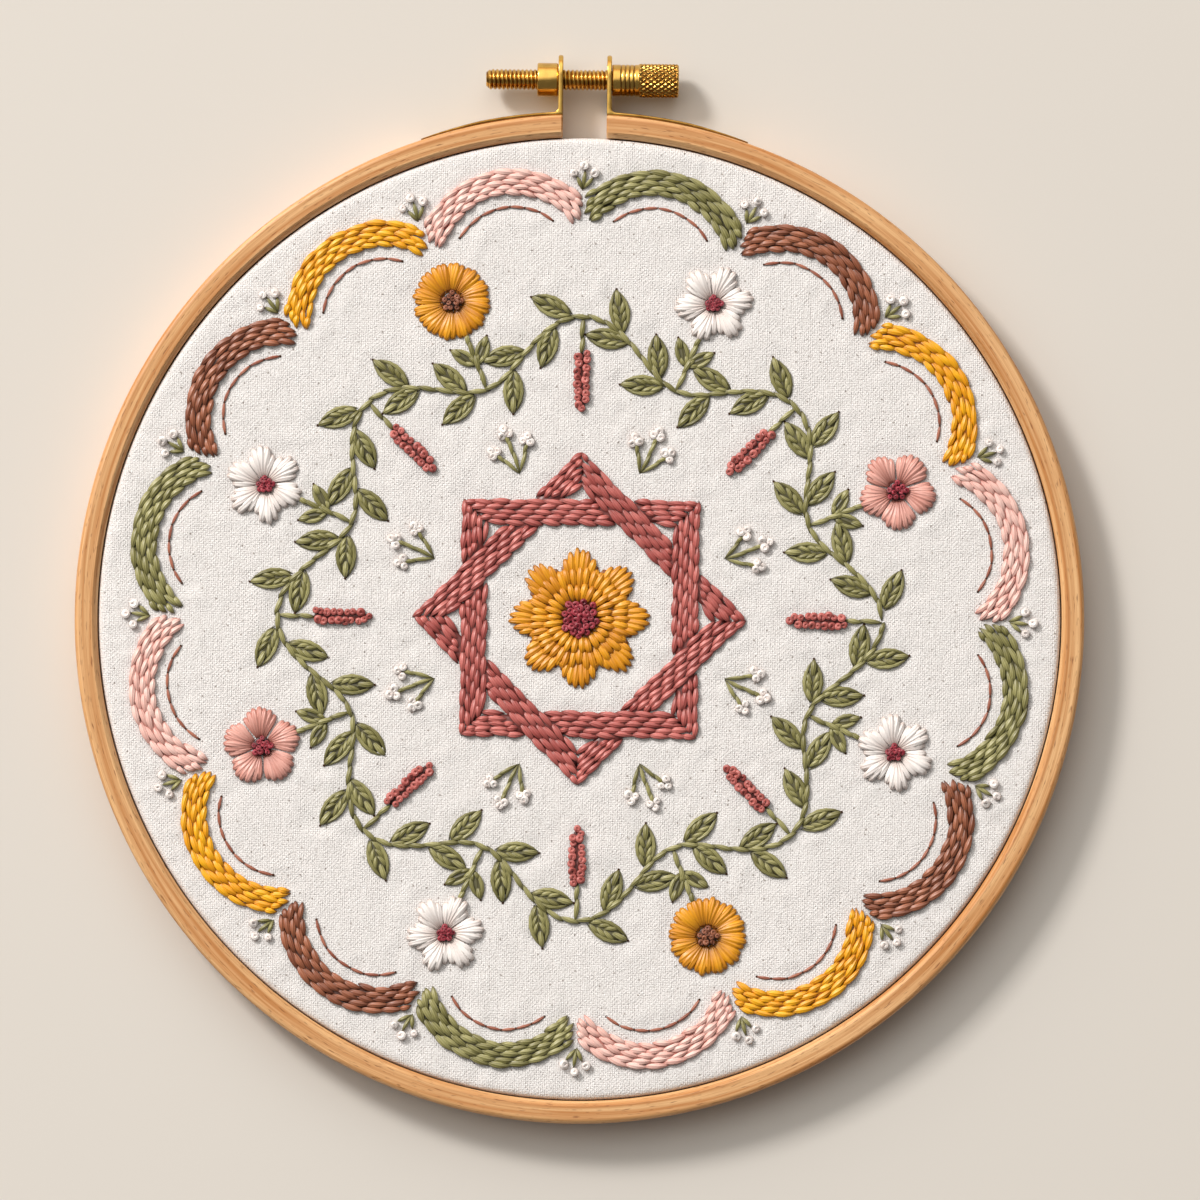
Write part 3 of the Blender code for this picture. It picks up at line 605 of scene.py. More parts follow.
def knots(places, r=0.52, thread=0.46, rise=0.0):
    """French knots: the thread makes a ring of a little more than a turn, and its end goes down in the
    middle. Each knot is tilted a little its own way. places is (knots, 2)."""
    count = len(places)
    t = np.linspace(0, 1, KNOT_STATIONS)[None, :]
    start = rng.uniform(0, TURN, (count, 1))
    tilt = rng.normal(0, KNOT_TILT, (count, 2))
    size = rng.uniform(0.84, 1.14, (count, 1))
    angle = start + t * TURN * KNOT_TURNS
    coil = size * r * (1 - 0.3 * t)
    x, y = coil * np.cos(angle), coil * np.sin(angle)
    rise = np.broadcast_to(rise, count)[:, None]
    z = CLOTH_TOP + KNOT_SEAT + rise + KNOT_CLIMB * t * size + tilt[:, :1] * x + tilt[:, 1:] * y
    paths = np.stack([places[:, :1] + x, places[:, 1:] + y, z], -1)
    full = np.broadcast_to(swell(t, 0.3), angle.shape)
    sewn.append((places, places))
    return bundles(paths, thread * size * full, thread * size * full)


def knot_heap(centre, reach, rise, count, r, thread):
    """Knots packed by the golden angle, heaped towards the middle, over a bed of padding in painted shade."""
    i = np.arange(count) + 0.5
    away = (reach - r - thread * 0.6) * np.sqrt(i / count)
    places = around(away, i * TURN * GOLDEN_SHARE, centre) + rng.normal(0, 0.06, (count, 2))
    across_heap = reach * 0.8 * np.linspace(-1, 1, KNOT_STATIONS)
    bed = around(across_heap, np.array([[0.0], [1.05], [2.1]]), centre)
    return [padding(bed, reach), knots(places, r, thread, rise * (1 - (away / reach) ** 2))]


low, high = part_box("rosette")
ROSETTE_R = (high.y - low.y) / 2 / MM
ROSETTE_NOTCH = ROSETTE_R * 8.5 / 15
ROSETTE_PETALS = 8
low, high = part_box("rosette_eye")
ROSETTE_EYE = (high.x - low.x) / 2 / MM
rosette_turn = math.pi - math.pi / ROSETTE_PETALS


def tier(count, near, far, width, lift, jitter):
    """A ring of stitches that point to the middle, from near to far. far is a distance for each of them."""
    angle = rosette_turn + TURN * (np.arange(count) + 0.5) / count
    outer = far(angle) + rng.normal(0, jitter, count)
    inner = near + rng.normal(0, jitter, count)
    starts = around(inner, angle + rng.normal(0, 0.02, count))
    ends = around(outer, angle + rng.normal(0, 0.01, count))
    width = width * rng.uniform(0.92, 1.08, count)
    return stitches(starts, ends, width, FLOSS_HEIGHT, lift=lift, climb=0.2, widest=0.58, blunt=0.5)


def rosette_edge(angle):
    return petal_edge(ROSETTE_PETALS, ROSETTE_R, ROSETTE_NOTCH, rosette_turn, angle)


spoke = rosette_turn + TURN * (np.arange(24) + 0.5) / 24
bed = around((0.25 + 0.75 * STATIONS) * (rosette_edge(spoke) - 0.9)[:, None], spoke[:, None])
# The outer tier is sewn first, and each next one over its feet.
petals = [
    padding(bed, 2.6),
    tier(64, 8.2, rosette_edge, 1.6, 0.05, 0.14),
    tier(40, 5.6, lambda angle: 10.8, 1.55, 0.32, 0.4),
    tier(26, 3.4, lambda angle: 7.6, 1.5, 0.55, 0.35),
]
add_floss("rosette_petals", petals, "mustard", ["rosette"])
add_floss("rosette_knots", knot_heap((0, 0), ROSETTE_EYE, 0.8, 27, 0.52, 0.4), "burgundy", ["rosette_eye"])


# ---- vine ----
# A waved stem in sage stem stitch: each stitch slants over the last one's end. Leaves have a bowed strand
# along each edge, and between them pairs of strands that meet on the midrib. Each tip has its own hole.

WAVES = 8
VINE_R = 57
VINE_SWING = 6
STEM_PITCH = 3.5
STEM_STITCH = 5.2
STEM_WIDTH = 1.15
STEM_ASIDE = 0.26
STALK_POINTS = 12
LEAF_LENGTH = 9.5
LEAF_HALF_WIDTH = 2.1
LEAF_LEAN = math.radians(38)
LEAF_STRAND = 0.95
# Where the leaves of one wave leave the vine, as shares of the wave, on its left and on its right.
LEFT_LEAVES = (0.04, 0.26, 0.60, 0.82)
RIGHT_LEAVES = (0.12, 0.34, 0.56, 0.78)
STALK_LEAF_R = 56.5
STALK_LEAF_LENGTH = 6.5
STALK_LEAF_HALF_WIDTH = 1.4
BLOSSOM_R = 71
BLOSSOM_REACH = 8.2
EAR_NEAR_R = 55.5


def vine_line(share):
    """Points on the vine's middle line. The radius is a cosine of the angle, a wave for each blossom."""
    return around(VINE_R + VINE_SWING * np.cos(TURN * share), TURN * share / WAVES)


def stem(line, width=STEM_WIDTH):
    """Stem stitch along a line given by many points."""
    run = run_along(line)
    count = max(1, round(run[-1] / STEM_PITCH))
    begin = np.arange(count) * run[-1] / count
    finish = np.minimum(begin + STEM_STITCH, run[-1] + 0.4)

    def on_line(distance):
        return np.stack([np.interp(distance, run, line[:, i]) for i in (0, 1)], 1)

    def beside(distance, aside):
        ahead = unit(on_line(distance + 0.5) - on_line(distance - 0.5))
        return on_line(distance) + left_of(ahead) * aside

    starts, ends = beside(begin, STEM_ASIDE), beside(finish, -STEM_ASIDE)
    return stitches(starts, ends, width, 0.85, lift=0.1, climb=0.3, widest=0.55)


def leaves(roots, directions, length, half_width, pairs):
    """Leaves from their roots. along and aside run over each leaf, in millimetres from its root."""

    def on_leaf(along, aside):
        return roots + around(along, directions) + around(aside, directions + math.pi / 2)

    spread = half_width - LEAF_STRAND / 2
    midrib = np.stack([on_leaf(length * share, 0) for share in 0.1 + 0.75 * STATIONS], 1)
    groups = [padding(midrib, half_width * 1.2)]
    for k in range(pairs):
        share = 0.36 + 0.5 * k / pairs
        for side in (1, -1):
            edge = side * spread * 0.8 * math.sin(math.pi * min(share * 0.95, 0.93)) ** 0.8
            jitter = rng.normal(0, 0.15, len(roots))
            foot = on_leaf(length * (share - 0.3) + jitter, -side * 0.12)
            head = on_leaf(length * (share + 0.06) + jitter, edge)
            groups.append(stitches(foot, head, LEAF_STRAND, 0.8, bow=side * 0.25, lift=0.2 + 0.05 * k))
    for side in (1, -1):
        tip = on_leaf(length * rng.uniform(0.97, 1.02, len(roots)), side * 0.14)
        root = on_leaf(0.2, side * 0.18)
        groups.append(stitches(root, tip, LEAF_STRAND, 0.85, bow=side * spread, lift=0.12))
    middle, tip = on_leaf(length * 0.55, 0), on_leaf(length, 0)
    groups.append(stitches(middle, tip, 1.3, 0.8, lift=0.22, widest=0.6, blunt=0.5))
    hole_places.append(on_leaf(length + 0.1, 0))
    return groups


waves = np.arange(WAVES)
greenery = [stem(vine_line(np.arange(WAVES * 60 + 1) / 60))]
for side, shares in ((1, LEFT_LEAVES), (-1, RIGHT_LEAVES)):
    share = (waves[:, None] + np.array(shares)).ravel()
    ahead = vine_line(share + 0.01) - vine_line(share)
    # A leaf that grows on the left of the stem leans to its right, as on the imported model.
    directions = np.arctan2(ahead[:, 1], ahead[:, 0]) - side * LEAF_LEAN
    greenery += leaves(vine_line(share), directions, LEAF_LENGTH, LEAF_HALF_WIDTH, 3)
dips, crests = TURN * (waves + 0.5) / WAVES, TURN * waves / WAVES
stalk_feet = around(STALK_LEAF_R, dips)
for lean in (-LEAF_LEAN, LEAF_LEAN):
    greenery += leaves(stalk_feet, dips + lean, STALK_LEAF_LENGTH, STALK_LEAF_HALF_WIDTH, 1)
outward = np.linspace(VINE_R - VINE_SWING, BLOSSOM_R - BLOSSOM_REACH + 1, STALK_POINTS)
inward = np.linspace(VINE_R + VINE_SWING, EAR_NEAR_R - 0.6, STALK_POINTS)
greenery += [stem(around(outward, dip)) for dip in dips]
greenery += [stem(around(inward, crest)) for crest in crests]
add_floss("vine_stem_and_leaves", greenery, "sage", ["vine"])


# ---- blossoms ----
# Eight blossoms on the outward stalks: pink wild roses, white star flowers and mustard marigolds. Petals are
# padded satin stitch, so the middle strands of each stand higher, and the eyes are heaps of knots.

# One row for each kind: petals, reach between the petals, eye, strands in a petal, padding, colours.
KINDS = {
    "wildrose": (5, 5.6, 2.6, 7, 0.5, "rose_pink", "burgundy"),
    "starflower": (6, 4.2, 2.2, 5, 0.6, "white", "burgundy"),
    "marigold": (12, 7.2, 2.6, 3, 0.3, "mustard", "chestnut"),
}
BLOSSOM_ORDER = ("wildrose", "starflower", "marigold", "starflower")


def satin_petals(centre, petals, reach, notch, eye, strands, rise):
    """A fan of strands for each petal, from under the eye to the petal's edge, over a padded bed."""
    turn = math.atan2(-centre[1], -centre[0]) - math.pi / petals
    half = math.pi / petals
    middles = turn + half + np.arange(petals) * 2 * half
    aside = np.tile((np.arange(strands) - (strands - 1) / 2) / (strands / 2), petals)
    count = len(aside)
    directions = np.repeat(middles, strands)
    angle = directions + aside * half * 0.92 + rng.normal(0, 0.012, count)
    outer = petal_edge(petals, reach, notch, turn, angle) + 0.1 + rng.normal(0, 0.08, count)
    starts = around(eye - 0.9, directions + aside * half * 0.9, centre)
    ends = around(outer, angle, centre)
    width = 1.35 * TURN * (reach + notch) / 2 / (petals * strands) * rng.uniform(0.9, 1.1, count)
    lift = rise * (1 - aside**2) + 0.1 + rng.uniform(-0.07, 0.07, count)
    bed = around(eye - 0.5 + (reach - eye - 0.7) * STATIONS, middles[:, None], centre)
    fan = stitches(starts, ends, width, 0.95, bow=-0.5 * aside * half, lift=lift, widest=0.66, blunt=0.45)
    return [padding(bed, 0.9 * half * (reach + notch) / 2), fan]


for i, dip in enumerate(dips):
    kind = BLOSSOM_ORDER[i % len(BLOSSOM_ORDER)]
    petals, notch, eye, strands, rise, petal_colour, eye_colour = KINDS[kind]
    centre = around(BLOSSOM_R, dip)
    name = f"{kind}_{i + 1}"
    fans = satin_petals(centre, petals, BLOSSOM_REACH, notch, eye, strands, rise)
    add_floss(name + "_petals", fans, petal_colour, [name])
    add_floss(name + "_knots", knot_heap(centre, eye, 0.55, 11, 0.4, 0.33), eye_colour, [name + "_eye"])


# ---- seed heads ----
# On each inward stalk, an ear of French knots in dusty rose, in two uneven columns with one more at the tip.

EAR_LENGTH = 13
EAR_PAIRS = 8
EAR_COLUMN = 0.92
EAR_STAGGER = 0.38
EAR_STRAY = 0.14

for i, crest in enumerate(crests):
    along = np.repeat(np.linspace(0.9, EAR_LENGTH - 2.5, EAR_PAIRS), 2)
    side = np.tile([-1, 1], EAR_PAIRS)
    plump = np.sin(math.pi * (0.25 + 0.65 * along / EAR_LENGTH)) ** 0.5
    aside = side * EAR_COLUMN * plump + rng.normal(0, EAR_STRAY, 2 * EAR_PAIRS)
    along = along + side * EAR_STAGGER + rng.normal(0, EAR_STRAY, 2 * EAR_PAIRS)
    along, aside = np.append(along, EAR_LENGTH - 1.1), np.append(aside, 0)
    column = around(EAR_NEAR_R - along, crest)
    places = column + aside[:, None] * np.array([-math.sin(crest), math.cos(crest)])
    bed = around(EAR_NEAR_R - np.linspace(0.3, EAR_LENGTH - 1, KNOT_STATIONS), crest)[None]
    name = f"seed_head_{i + 1}"
    add_floss(name + "_knots", [padding(bed, 2), knots(places, rise=0.12)], "dusty_rose", [name])


# ---- scalloped border ----
# Sixteen arcs of the same banding as the star, in four colours. Their rows run on until they meet the next
# arc's. A thin terracotta line in back stitch follows each arc inside: each stitch goes back to the last
# one's start, so that the thread runs on by two at the back.

SCALLOPS = 16
SCALLOP_CENTRE_R = 74
SCALLOP_ARC_R = 18
SCALLOP_COLOURS = ("pale_rose", "gold", "chestnut", "sage")
SCALLOP_MOST = math.radians(66)
MEETING_GAP = 0.5
BED_REACH = 17
LINE_R = 12.8
LINE_REACH = math.radians(50)
LINE_STITCH = 3

half_sector = math.pi / SCALLOPS
lines = []
for i in range(SCALLOPS):
    direction = 2 * half_sector * (i + 0.5)
    centre = around(SCALLOP_CENTRE_R, direction)
    reaches = []
    for row, offset in enumerate(ROW_OFFSETS):
        # The row's circle meets the line between two arcs where the sine rule says.
        meets = half_sector + math.asin(SCALLOP_CENTRE_R * math.sin(half_sector) / (SCALLOP_ARC_R + offset))
        end = min(meets, SCALLOP_MOST) * SCALLOP_ARC_R - MEETING_GAP
        reaches.append((row, -end, end))

    def lay(along, across, centre=centre, direction=direction):
        return around(SCALLOP_ARC_R + across, direction + along / SCALLOP_ARC_R, centre)

    colour = SCALLOP_COLOURS[i % len(SCALLOP_COLOURS)]
    name = f"scallop_{i + 1}"
    outward_bow = -((BAND_PITCH + STITCH_OVERLAP) ** 2) / (8 * SCALLOP_ARC_R)
    bed = lay(BED_REACH * (2 * STATIONS - 1), 0)[None]
    rows = [padding(bed, BAND_WIDTH - 1), banding(reaches, lay, outward_bow)]
    add_floss(name + "_banding", rows, colour, [name])

    count = round(2 * LINE_REACH * LINE_R / LINE_STITCH) + 1
    marks = direction + np.linspace(-LINE_REACH, LINE_REACH, count)
    places = around(LINE_R + rng.normal(0, 0.06, count), marks + rng.normal(0, 0.008, count), centre)
    lines.append((places[1:], places[:-1]))
    hole_places.append(places)
starts, ends = (np.concatenate(side) for side in zip(*lines))
line_work = [stitches(starts, ends, 0.68, 0.5, bow=0.06, lift=0.08, blunt=0.35)]
add_floss("back_stitch_lines", line_work, "terracotta")


# ---- sprigs ----
# Small sprigs outside the scallops' meetings, with one white knot to a branch, and larger ones between the
# seed heads, with three. The branches are in sage stem stitch.

SPRIG_FAN = np.radians([-32, 0, 32])
SIDE_BRANCH = 0.78
SPRIG_STEM_WIDTH = 0.9
KNOT_TRIO = np.radians([0, 115, 245])
KNOT_PAST_TIP = 0.85

cusps = 2 * half_sector * np.arange(SCALLOPS)
stalks, heads = [], []
for feet_r, stalk, directions, cluster in ((89, 4.2, cusps, 1), (32.5, 9, dips, 3)):
    feet = around(feet_r, directions)
    for fan in SPRIG_FAN:
        tips = feet + around(stalk * (1 if fan == 0 else SIDE_BRANCH), directions + fan)
        branches = [np.linspace(foot, tip, STALK_POINTS) for foot, tip in zip(feet, tips)]
        stalks += [stem(branch, SPRIG_STEM_WIDTH) for branch in branches]
        for turn in KNOT_TRIO[:cluster]:
            past = around(rng.normal(KNOT_PAST_TIP, 0.08, len(directions)), directions + fan + turn)
            heads.append(knots(tips + past, 0.54, 0.52, rise=0.05))
add_floss("sprig_stalks", stalks, "sage")
add_floss("sprig_knots", heads, "white")


# ---- needle holes ----
# Where a single thread goes down, its hole shows as a dark dot: a shallow pit in dark brown, partly the
# thread's end in it and partly painted shade of the hole, which is given as three rings, from its rim to its
# bottom.

HOLE_R = 0.27

shaded = {"Base Color": "4A3428", "Roughness": 0.95, "Specular IOR Level": 0.1}
pit = new_finish("shaded_needle_hole", shaded)[0]
rings = around(HOLE_R * np.array([[1], [0.8], [0]]), np.linspace(0, TURN, 9))
flat = np.concatenate(hole_places)[:, None, None] + rings
height = CLOTH_TOP + np.array([0.02, 0.07, -0.05])[:, None]
pits = raised(flat, np.broadcast_to(height, flat.shape[:3]))
add_piece("needle_holes", pits, pit, "chestnut_thread", sharp=180)


# ---- the pull of the floss ----
# Every stitch draws the cloth down a little where its thread goes through, and leaves it faintly rippled
# about it. Both fade with distance, as a Gaussian, and are at their deepest where stitches stand close.

PULL = 0.16
PULL_REACH = 0.9
RIPPLE = 0.07
RIPPLE_REACH = 3
RIPPLE_LENGTH = 1.1
MAP_STEP = 0.5

ends_sewn = np.concatenate([np.concatenate(pair) for runs in reverse_runs.values() for pair in runs])
map_side = int(2 * CLOTH_R / MAP_STEP) + 1


def spread_out(field, reach):
    """A map blurred by a Gaussian of that reach, in millimetres, by way of its frequencies."""
    frequency = np.fft.fftfreq(map_side, MAP_STEP)
    blur = np.exp(-2 * (math.pi * reach) ** 2 * (frequency[:, None] ** 2 + frequency[None, :] ** 2))
    return np.fft.ifft2(np.fft.fft2(field) * blur).real


edges = [np.linspace(-CLOTH_R, CLOTH_R, map_side + 1)] * 2
holes = np.histogram2d(ends_sewn[:, 0], ends_sewn[:, 1], edges)[0]
near = np.clip(spread_out(holes, PULL_REACH) / 0.05, 0, 1)
about = np.clip(spread_out(holes, RIPPLE_REACH) / 0.012, 0, 1)
ripples = spread_out(rng.normal(size=(map_side, map_side)), RIPPLE_LENGTH)
drop = PULL * near + RIPPLE * about * ripples / ripples.std()
placed = np.empty(len(cloth.data.vertices) * 3, np.float32)
cloth.data.vertices.foreach_get("co", placed)
placed = placed.reshape(-1, 3)
cell = (placed[:, :2] / MM - (0, HOOP_Y) + CLOTH_R) / MAP_STEP
column, row = np.clip(cell, 0, map_side - 1).astype(int).T
placed[:, 2] -= drop[column, row] * MM * (placed[:, 2] > (CLOTH_TOP - 0.3) * MM)
cloth.data.vertices.foreach_set("co", placed.ravel())
cloth.data.update()


# ---- reverse side ----
# At the back, the floss runs from the end of each stitch to the start of the next, tight to the cloth.

SHORTEST_RUN = 0.8
LONGEST_RUN = 7
RUN_STATIONS = np.array([0, 0.12, 0.5, 0.88, 1])
RUN_HALF_WIDTH = 0.55
RUN_HALF_HEIGHT = 0.22
REVERSE_Z = CLOTH_TOP - CLOTH_THICKNESS - 0.1

for colour, runs in reverse_runs.items():
    starts = np.concatenate([down[:-1] for _, down in runs])
    ends = np.concatenate([up[1:] for up, _ in runs])
    length = np.linalg.norm(ends - starts, axis=1)
    run = (length > SHORTEST_RUN) & (length < LONGEST_RUN)
    starts, ends = starts[run], ends[run]
    flat = starts[:, None] + (ends - starts)[:, None] * RUN_STATIONS[:, None]
    full = np.broadcast_to(swell(RUN_STATIONS, 0.4), flat.shape[:2])
    z = REVERSE_Z + 0.15 - (0.3 + rng.uniform(0, 0.12, (len(flat), 1))) * full
    threads = bundles(raised(flat, z), RUN_HALF_WIDTH * full, RUN_HALF_HEIGHT * full)
    points, uv, tint, depth = (part[:, :, ::2] for part in threads)
    finish, slot = floss_colours[colour]
    # The depth values are painted shade, used here at four tenths of their strength.
    add_piece("reverse_" + colour, points, finish, slot, (), uv, sharp=180, tint=tint, depth=depth * 0.4)


# ---- outer ring ----
# The same beech, a little higher, cut through at the clamp. Its outer top edge is rounded over by sanding,
# its inner one is chamfered, and its cut ends are eased.

BORE_R = 100
low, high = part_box("bracket_right")
LUG_INSIDE = low.x / MM
easing = ((0.5, 1), (1.0, 1.1), (1.1, 1.9), (0.25, 1))
section = eased_section(BORE_R, OUTER_R, 0, RING_TOP, easing)
points, uv = bent_ring(section, stations=321, half_gap=LUG_INSIDE)
add_piece("outer_ring", points, beech, "pale_wood", ["outer_hoop"], uv)


# ---- brackets ----
# Two strips of brass sheet that hug the ring's outer face and turn up beside the gap into lugs, which are
# drilled for the screw. Polished and lacquered brass is a clear warm yellow, with fine rubbing marks, and
# the strips are darkened with painted shade away from the lugs.

LUG_TIP = high.y / MM - HOOP_Y
STRIP_END = high.x / MM
PLATE_HALF_WIDTH = (high.z - low.z) / 2 / MM
LUG_THICKNESS = 1
STRIP_INNER_R = OUTER_R + 0.04
STRIP_OUTER_R = OUTER_R + 0.72
STRIP_THINNING = 0.45
STRIP_TAPER = 0.12
STRIP_PAINTED_SHADE = 0.5
STRIP_SHADE_WITHIN = 5
BEND_R = 1
PLATE_EDGE = 0.22
low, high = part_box("thumb_screw")
SCREW_Y = (low.y + high.y) / 2 / MM - HOOP_Y
SCREW_Z = (low.z + high.z) / 2 / MM
LUG_BORE_R = 2.45

brass, brass_shader = new_finish("polished_brass", {"Metallic": 1})
place = add_node(brass, "TexCoord", {})["Object"]
# The attribute read here is painted shade: on the strips, in the thread's roots, the knurl's hollows and the
# collar's grooves.
brass_shade_share = add_node(brass, "Attribute", {}, attribute_name="groove")["Fac"]
rub_sizes = (1 / (3 * MM), 1 / (0.15 * MM), 1 / (3 * MM))
rub_place = add_node(brass, "Mapping", {"Vector": place, "Scale": rub_sizes})[0]
rubbing = add_node(brass, "TexNoise", {"Vector": rub_place, "Scale": 1, "Detail": 3})[0]
cloudy = add_node(brass, "TexNoise", {"Vector": place, "Scale": 1 / (2 * MM), "Detail": 2})[0]
tarnish = add_node(brass, "MapRange", {"Value": cloudy, "From Min": 0.3, "From Max": 0.7, "To Max": 0.3})[0]
# Tarnish is the brass's own random darkening, and the painted shade is added to it.
tarnish_and_shade = add_node(brass, "Math", {0: tarnish, 1: brass_shade_share}, operation="ADD", use_clamp=True)[0]
brassy = add_node(brass, "Mix", {0: tarnish_and_shade, 6: "E8BC63", 7: "7A4710"}, data_type="RGBA")[2]
polish = add_node(brass, "MapRange", {"Value": rubbing, "To Min": 0.12, "To Max": 0.3})[0]
marks = add_node(brass, "Bump", {"Height": rubbing, "Strength": 0.15, "Distance": 0.02 * MM})[0]
set_inputs(brass, brass_shader, {"Base Color": brassy, "Roughness": polish, "Normal": marks})


def bracket_plate(side):
    """A rounded rectangle carried between two rails, seen from above: the outer rail runs along the strip's
    outer face, round the bend and up the lug, and the inner one along the ring, round the corner and up. At
    the tip the rails close in a half circle, and the plate's width narrows to a half circle too. The strip
    gets thinner towards its far end."""
    bend_x = LUG_INSIDE + LUG_THICKNESS + BEND_R
    strip = np.linspace(math.asin(STRIP_END / STRIP_OUTER_R), math.asin(bend_x / STRIP_OUTER_R), 25)
    outer_r = STRIP_OUTER_R - STRIP_THINNING * np.clip(1 - (strip[0] - strip) / STRIP_TAPER, 0, 1)[:, None]
    spokes = np.stack([np.sin(strip), np.cos(strip)], 1)
    outer, inner = [outer_r * spokes], [STRIP_INNER_R * spokes]
    bend_y = outer[0][-1, 1] + BEND_R
    turn = np.linspace(0, math.pi / 2, 9)[1:]
    outer.append(np.stack([bend_x - BEND_R * np.sin(turn), bend_y - BEND_R * np.cos(turn)], 1))
    corner = (LUG_INSIDE, math.sqrt(STRIP_INNER_R**2 - LUG_INSIDE**2))
    share = np.linspace(0, 1, 5)[1:, None]
    inner.append((1 - share) * inner[0][-1] + share * corner)
    inner.append((1 - share) * corner + share * (LUG_INSIDE, bend_y))
    half = LUG_THICKNESS / 2
    shaft = np.linspace(bend_y, LUG_TIP - half, 24)[1:]
    close = np.linspace(0, math.pi / 2, 7)[1:]
    y = np.concatenate([shaft, LUG_TIP - half + half * np.sin(close)])
    aside = np.concatenate([np.full(len(shaft), half), half * np.cos(close)])
    outer.append(np.stack([LUG_INSIDE + half + aside, y], 1))
    inner.append(np.stack([LUG_INSIDE + half - aside, y], 1))
    outer, inner = np.concatenate(outer), np.concatenate(inner)
    middle, thick = (outer + inner) / 2, np.linalg.norm(outer - inner, axis=1) / 2
    across = (outer - inner) / np.maximum(2 * thick, 1e-9)[:, None]
    across[-1] = across[-2]
    past = np.clip(middle[:, 1] - (LUG_TIP - PLATE_HALF_WIDTH), 0, PLATE_HALF_WIDTH)
    past[: len(strip)] = 0
    wide = np.sqrt(PLATE_HALF_WIDTH**2 - past**2)
    # The strip's far end closes to its middle, with a small chamfer.
    middle, across = (np.concatenate([v[:1], v[:1], v]) for v in (middle, across))
    thick = np.concatenate([[0, thick[0] * 0.5], thick])
    wide = np.concatenate([[0, wide[0] - 0.15], wide])
    quarter = np.linspace(0, math.pi / 2, 5)
    turn = np.append([quarter + k * math.pi / 2 for k in range(4)], TURN)
    edge = np.minimum(PLATE_EDGE, np.minimum(thick, wide))[:, None]
    corner_a, corner_b = (np.append(np.repeat(way, 5), 1) for way in ([1, -1, -1, 1], [1, 1, -1, -1]))
    a = corner_a * (thick[:, None] - edge) + edge * np.cos(turn)
    b = corner_b * (wide[:, None] - edge) + edge * np.sin(turn)
    x, y = (middle[:, i, None] + across[:, i, None] * a for i in (0, 1))
    return np.stack([side * x, y, SCREW_Z + b], -1)[None]


def drill(piece, x):
    """Cuts the screw's bore through a piece near x, along the screw's axis."""
    cutter_mesh = bpy.data.meshes.new("drill")
    bit = bmesh.new()
    bmesh.ops.create_cone(bit, cap_ends=True, segments=48, radius1=LUG_BORE_R, radius2=LUG_BORE_R, depth=4)
    for vertex in bit.verts:
        across, along, length = vertex.co
        vertex.co = Vector((x + length, SCREW_Y + HOOP_Y + across, SCREW_Z + along)) * MM
    bmesh.ops.recalc_face_normals(bit, faces=bit.faces)
    bit.to_mesh(cutter_mesh)
    bit.free()
    cutter = bpy.data.objects.new("drill", cutter_mesh)
    bpy.context.scene.collection.objects.link(cutter)
    cut = piece.modifiers.new("bore", "BOOLEAN")
    cut.object = cutter
    drilled = bpy.data.meshes.new_from_object(piece.evaluated_get(bpy.context.evaluated_depsgraph_get()))
    piece.modifiers.remove(cut)
    bpy.data.objects.remove(cutter)
    piece.data = drilled


for name, side in (("bracket_right", 1), ("bracket_left", -1)):
    plate = bracket_plate(side)
    past_lug = abs(plate[..., 0]) - LUG_INSIDE - LUG_THICKNESS
    # Painted shade along the strip, growing over its first few millimetres past the lug.
    strip_shade = STRIP_PAINTED_SHADE * np.clip(past_lug / STRIP_SHADE_WITHIN, 0, 1)
    piece = add_piece(name + "_plate", plate, brass, "clamp_brass", [name], sharp=40, groove=strip_shade)
    drill(piece, side * (LUG_INSIDE + LUG_THICKNESS / 2))


# ---- nut ----
# A plain round nut, turned from brass bar and polished, that sits against the left lug.

NUT_COLUMNS = 96
NUT_ROUND = 0.35
LUG_CLEARANCE = 0.05


def turned_about_screw(x, r, columns):
    """Spins a profile about the screw's axis. x and r are (rows,) or (rows, columns + 1)."""
    angle = np.linspace(0, TURN, columns + 1)[None, :]
    x, r = (np.broadcast_to(v if v.ndim == 2 else v[:, None], (len(v), columns + 1)) for v in (x, r))
    return np.stack([x, SCREW_Y + r * np.cos(angle), SCREW_Z + r * np.sin(angle)], -1)[None]


low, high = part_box("nut")
NUT_R = (high.z - low.z) / 2 / MM
nut_near, nut_far = -(LUG_INSIDE + LUG_THICKNESS + LUG_CLEARANCE), low.x / MM
edge = np.linspace(0, math.pi / 2, 6)
rim_r, rim_x = NUT_R - NUT_ROUND * (1 - np.sin(edge)), NUT_ROUND * (1 - np.cos(edge))
lip_r, lip_x = np.array([2.4, 2.2, 2.2, 2.4]), np.array([0, 0.2])
r = np.concatenate([rim_r, rim_r[::-1], lip_r, rim_r[:1]])
x = [nut_near - rim_x, nut_far + rim_x[::-1], nut_far + lip_x, nut_near - lip_x[::-1], [nut_near]]
nut = turned_about_screw(np.concatenate(x), r, NUT_COLUMNS)
add_piece("nut_turned", nut, brass, "clamp_brass", ["nut"], groove=0)


# ---- thumb screw ----
# A threaded rod with a turned head: a collar with fine grooves and a diamond-knurled grip. It is one piece of
# brass, which turns in the lugs. Its grooves and the knurl's hollows are darkened with painted shade.

